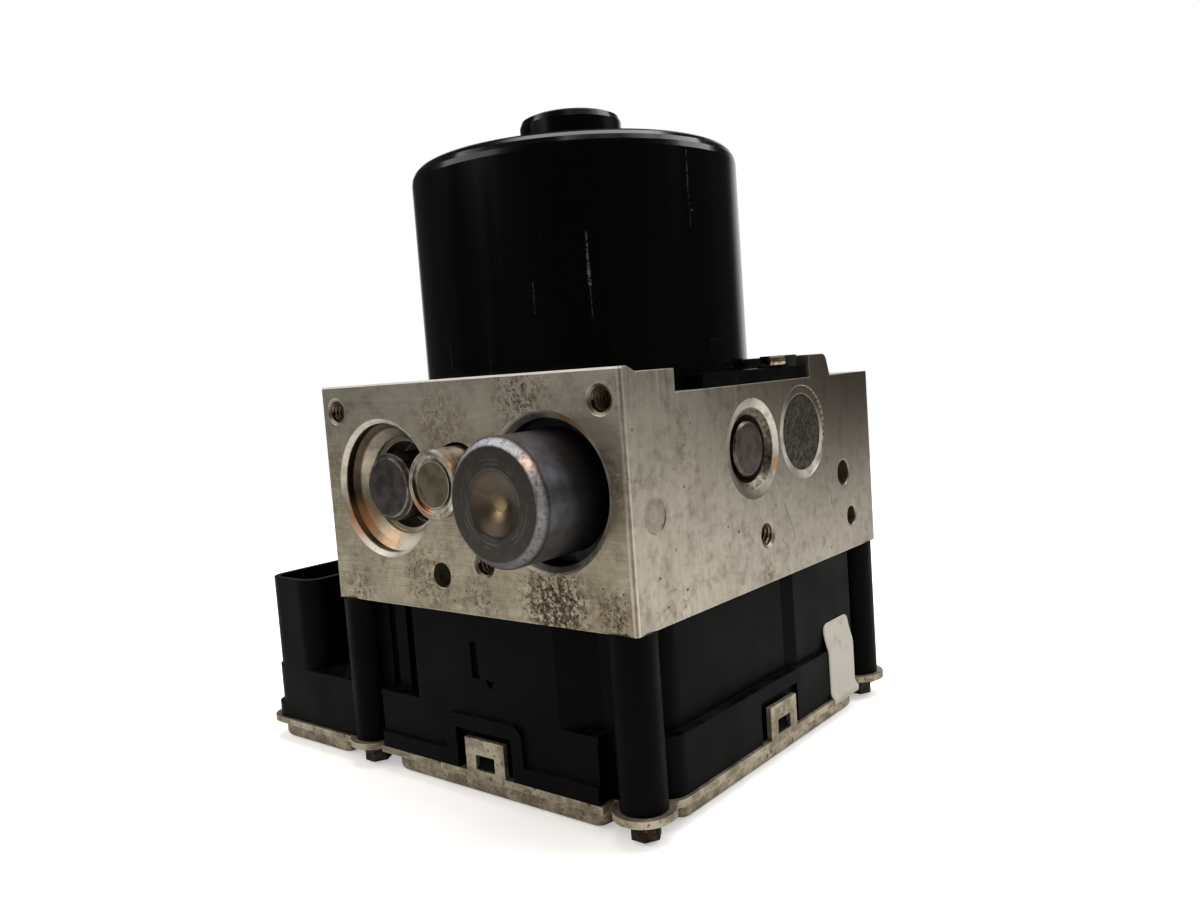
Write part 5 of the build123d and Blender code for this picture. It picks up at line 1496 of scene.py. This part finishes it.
@dataclass
class ControlUnit:
    """Moulded housing with its board, contacts, cover, screws and a blank label."""

    label_y: tuple[float, float] = (31.0, 45.0)
    label_lift: float = 0.12
    label_corner: float = 2.0
    label_steps: int = 14
    label_line: tuple[tuple[float, float], ...] = (
        (44.9, 25.6), (44.9, 25.2), (44.91, 24.6), (44.98, 23.6), (45.3, 21.8), (45.72, 20.2),
        (46.02, 19.2), (46.16, 18.5), (46.2, 18.0), (46.2, 12.0), (46.2, 8.2), (46.4, 7.2),
        (46.9, 6.75), (47.12, 6.3), (47.12, 5.1))

    def build(self, stock: Stock) -> None:
        """Stick the blank label on the right side, down over the ledge and the flange.

        Args:
            stock: Materials.
        """
        low, high = self.label_y
        profile = [(x + self.label_lift, z) for x, z in self.label_line]
        steps = self.label_steps
        points: list[Point] = []
        for x, z in profile:
            drop = max(0.0, self.label_corner - (self.label_line[0][1] - z))
            inset = self.label_corner - math.sqrt(max(0.0, self.label_corner ** 2 - drop ** 2))
            points += [(x, low + inset + (high - low - 2 * inset) * i / steps, z)
                       for i in range(steps + 1)]
        wide = steps + 1
        faces = [(r * wide + i, r * wide + i + 1, (r + 1) * wide + i + 1, (r + 1) * wide + i)
                 for r in range(len(profile) - 1) for i in range(steps)]
        label = mesh_piece("blank_label", points, faces)
        thick = label.modifiers.new("paper", "SOLIDIFY")
        thick.thickness = self.label_lift * MM
        thick.offset = 0.0
        stock.cover(label, "coated_white_paper")
        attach(label, "unit")

    def dress(self, stock: Stock) -> None:
        """Give the control unit's pieces their finishes.

        Args:
            stock: Materials.
        """
        stock.dress("moulded_glass_filled_nylon", "ecu_housing")
        stock.dress("pressed_aluminium_sheet", "cover_pan")
        stock.dress("corroded_screw_steel", "housing_screws")
        stock.dress("moulded_seal_rubber", "housing_seal")
        stock.dress("tinned_copper", "connector_contacts", "supply_blades")
        stock.dress("coated_glass_epoxy", "circuit_board")


@dataclass
class Studio:
    """Pale floor, soft lamps and the camera of the photograph."""

    camera_mm: Point = (161.9, -195.3, 94.3)
    azimuth: float = 39.3148
    elevation: float = 4.6382
    roll: float = -4.1423
    focal_px: float = 1002.993
    picture_px: float = 1200.0
    sensor_mm: float = 36.0
    table_mm: float = 650.0
    table_sides: int = 96
    table_light: str = "#f4f4f2"
    table_dark: str = "#eeeeec"
    warm_light: str = "#ffb884"
    floor_glow: float = 0.42
    room: float = 0.05
    wall_start: float = 0.80
    wall_full: float = 0.97
    wall_glow: float = 0.9
    wall_turn: float = 9.0
    fill: float = 0.25

    def camera(self) -> None:
        """Place the camera at the photograph's viewpoint."""
        a, e, r = (math.radians(v) for v in (self.azimuth, self.elevation, self.roll))
        back = Vector((math.sin(a) * math.cos(e), -math.cos(a) * math.cos(e), math.sin(e)))
        right = Vector((math.cos(a), math.sin(a), 0.0))
        up = back.cross(right)
        turned_right = math.cos(r) * right + math.sin(r) * up
        turned_up = -math.sin(r) * right + math.cos(r) * up
        data = bpy.data.cameras.new("camera")
        data.sensor_width = self.sensor_mm
        data.lens = self.sensor_mm * self.focal_px / self.picture_px
        data.clip_start, data.clip_end = 0.01, 20.0
        camera = bpy.data.objects.new("camera", data)
        bpy.context.scene.collection.objects.link(camera)
        columns = Matrix((turned_right, turned_up, back)).transposed().to_4x4()
        camera.matrix_world = Matrix.Translation(Vector(self.camera_mm) * MM) @ columns
        bpy.context.scene.camera = camera

    def floor(self) -> None:
        """Lay a round pale table top that shows white to the camera and keeps a soft shadow."""
        turns = [2 * math.pi * i / self.table_sides for i in range(self.table_sides)]
        points = [(self.table_mm * math.cos(a), self.table_mm * math.sin(a), 0.0) for a in turns]
        floor = mesh_piece("floor", points, [tuple(range(self.table_sides))])
        recipe = Recipe("pale_floor")
        tone = recipe.limits(recipe.noise(40.0), 0.3, 0.7)
        colour = recipe.blend(tone, linear(self.table_dark), linear(self.table_light))
        shader = recipe.add("ShaderNodeBsdfPrincipled", {
            "Roughness": 0.9, "Specular IOR Level": 0.1}, {"Base Color": colour})
        # Only the camera sees this glow, so that the open floor is white and lights nothing.
        seen = recipe.add("ShaderNodeLightPath").outputs["Is Camera Ray"]
        glow = recipe.add("ShaderNodeEmission", {"Color": linear(WHITE)},
                          {"Strength": recipe.times(seen, self.floor_glow)})
        both = recipe.add("ShaderNodeAddShader", links={0: shader.outputs[0], 1: glow.outputs[0]})
        recipe.add("ShaderNodeOutputMaterial", links={"Surface": both.outputs[0]})
        floor.data.materials.append(recipe.material)

    def lamp(self, name: str, place_mm: Point, aim_mm: Point, size_mm: tuple[float, float],
             power: float, tint: str = WHITE) -> None:
        """Hang a soft rectangular lamp.

        Args:
            name: Name of the lamp.
            place_mm: Where it hangs.
            aim_mm: Point that it faces.
            size_mm: Width and height.
            power: Radiant power in watts.
            tint: Colour of its light.
        """
        data = bpy.data.lights.new(name, "AREA")
        data.shape = "RECTANGLE"
        data.size, data.size_y = (s * MM for s in size_mm)
        data.energy = power
        data.color = linear(tint)[:3]
        lamp = bpy.data.objects.new(name, data)
        bpy.context.scene.collection.objects.link(lamp)
        lamp.location = Vector(place_mm) * MM
        away = lamp.location - Vector(aim_mm) * MM
        lamp.rotation_mode = "QUATERNION"
        lamp.rotation_quaternion = away.to_track_quat("Z", "Y")

    def world(self) -> None:
        """Show white to the camera, and to reflections a dim room with a white wall behind."""
        world = bpy.data.worlds.new("studio")
        world.use_nodes = True
        tree = world.node_tree
        tree.nodes.clear()
        path = add_node(tree, "ShaderNodeLightPath").outputs
        ray = add_node(tree, "ShaderNodeTexCoord").outputs["Generated"]
        a = math.radians(self.azimuth - self.wall_turn)
        behind = (-math.sin(a), math.cos(a), 0.0)
        facing = add_node(tree, "ShaderNodeVectorMath", {"operation": "DOT_PRODUCT", 1: behind},
                          {0: ray})
        wall = add_node(tree, "ShaderNodeMapRange", {
            "interpolation_type": "SMOOTHSTEP", 1: self.wall_start, 2: self.wall_full,
            3: self.room, 4: self.wall_glow}, {0: facing.outputs["Value"]})
        shown = add_node(tree, "ShaderNodeMath", {"operation": "MAXIMUM"},
                         {0: path["Is Camera Ray"], 1: path["Is Transmission Ray"]})
        glossy = add_node(tree, "ShaderNodeMix", {"data_type": "FLOAT", 2: self.fill},
                          {0: path["Is Glossy Ray"], 3: wall.outputs[0]})
        strength = add_node(tree, "ShaderNodeMath", {"operation": "MAXIMUM"},
                            {0: shown.outputs[0], 1: glossy.outputs[0]})
        shader = add_node(tree, "ShaderNodeBackground", {"Color": linear(WHITE)},
                          {"Strength": strength.outputs[0]})
        add_node(tree, "ShaderNodeOutputWorld", links={"Surface": shader.outputs[0]})
        bpy.context.scene.world = world

    def build(self) -> None:
        """Set up camera, floor, lamps and world."""
        self.camera()
        self.floor()
        top = (0.0, 0.0, 60.0)
        self.lamp("top_lamp", (60.0, 120.0, 900.0), top, (700.0, 700.0), 7.0)
        self.lamp("front_lamp", (-420.0, -520.0, 560.0), top, (650.0, 450.0), 2.8)
        self.lamp("back_right_lamp", (420.0, 420.0, 520.0), (260.0, 200.0, 0.0),
                  (450.0, 450.0), 3.2)
        self.lamp("warm_lamp", (260.0, -420.0, 620.0), top, (120.0, 120.0), 0.45,
                  self.warm_light)
        self.world()
        view = bpy.context.scene.view_settings
        view.view_transform = "Standard"


def main() -> None:
    """Build and dress every sub-assembly in order."""
    logging.basicConfig(level=logging.INFO, format="%(message)s")
    studio = Studio()
    studio.build()
    stock = Stock()
    for assembly in (ValveBlock(), PumpMotor(), ValveSet(), ControlUnit()):
        assembly.build(stock)
        assembly.dress(stock)


if __name__ == "__main__":
    main()
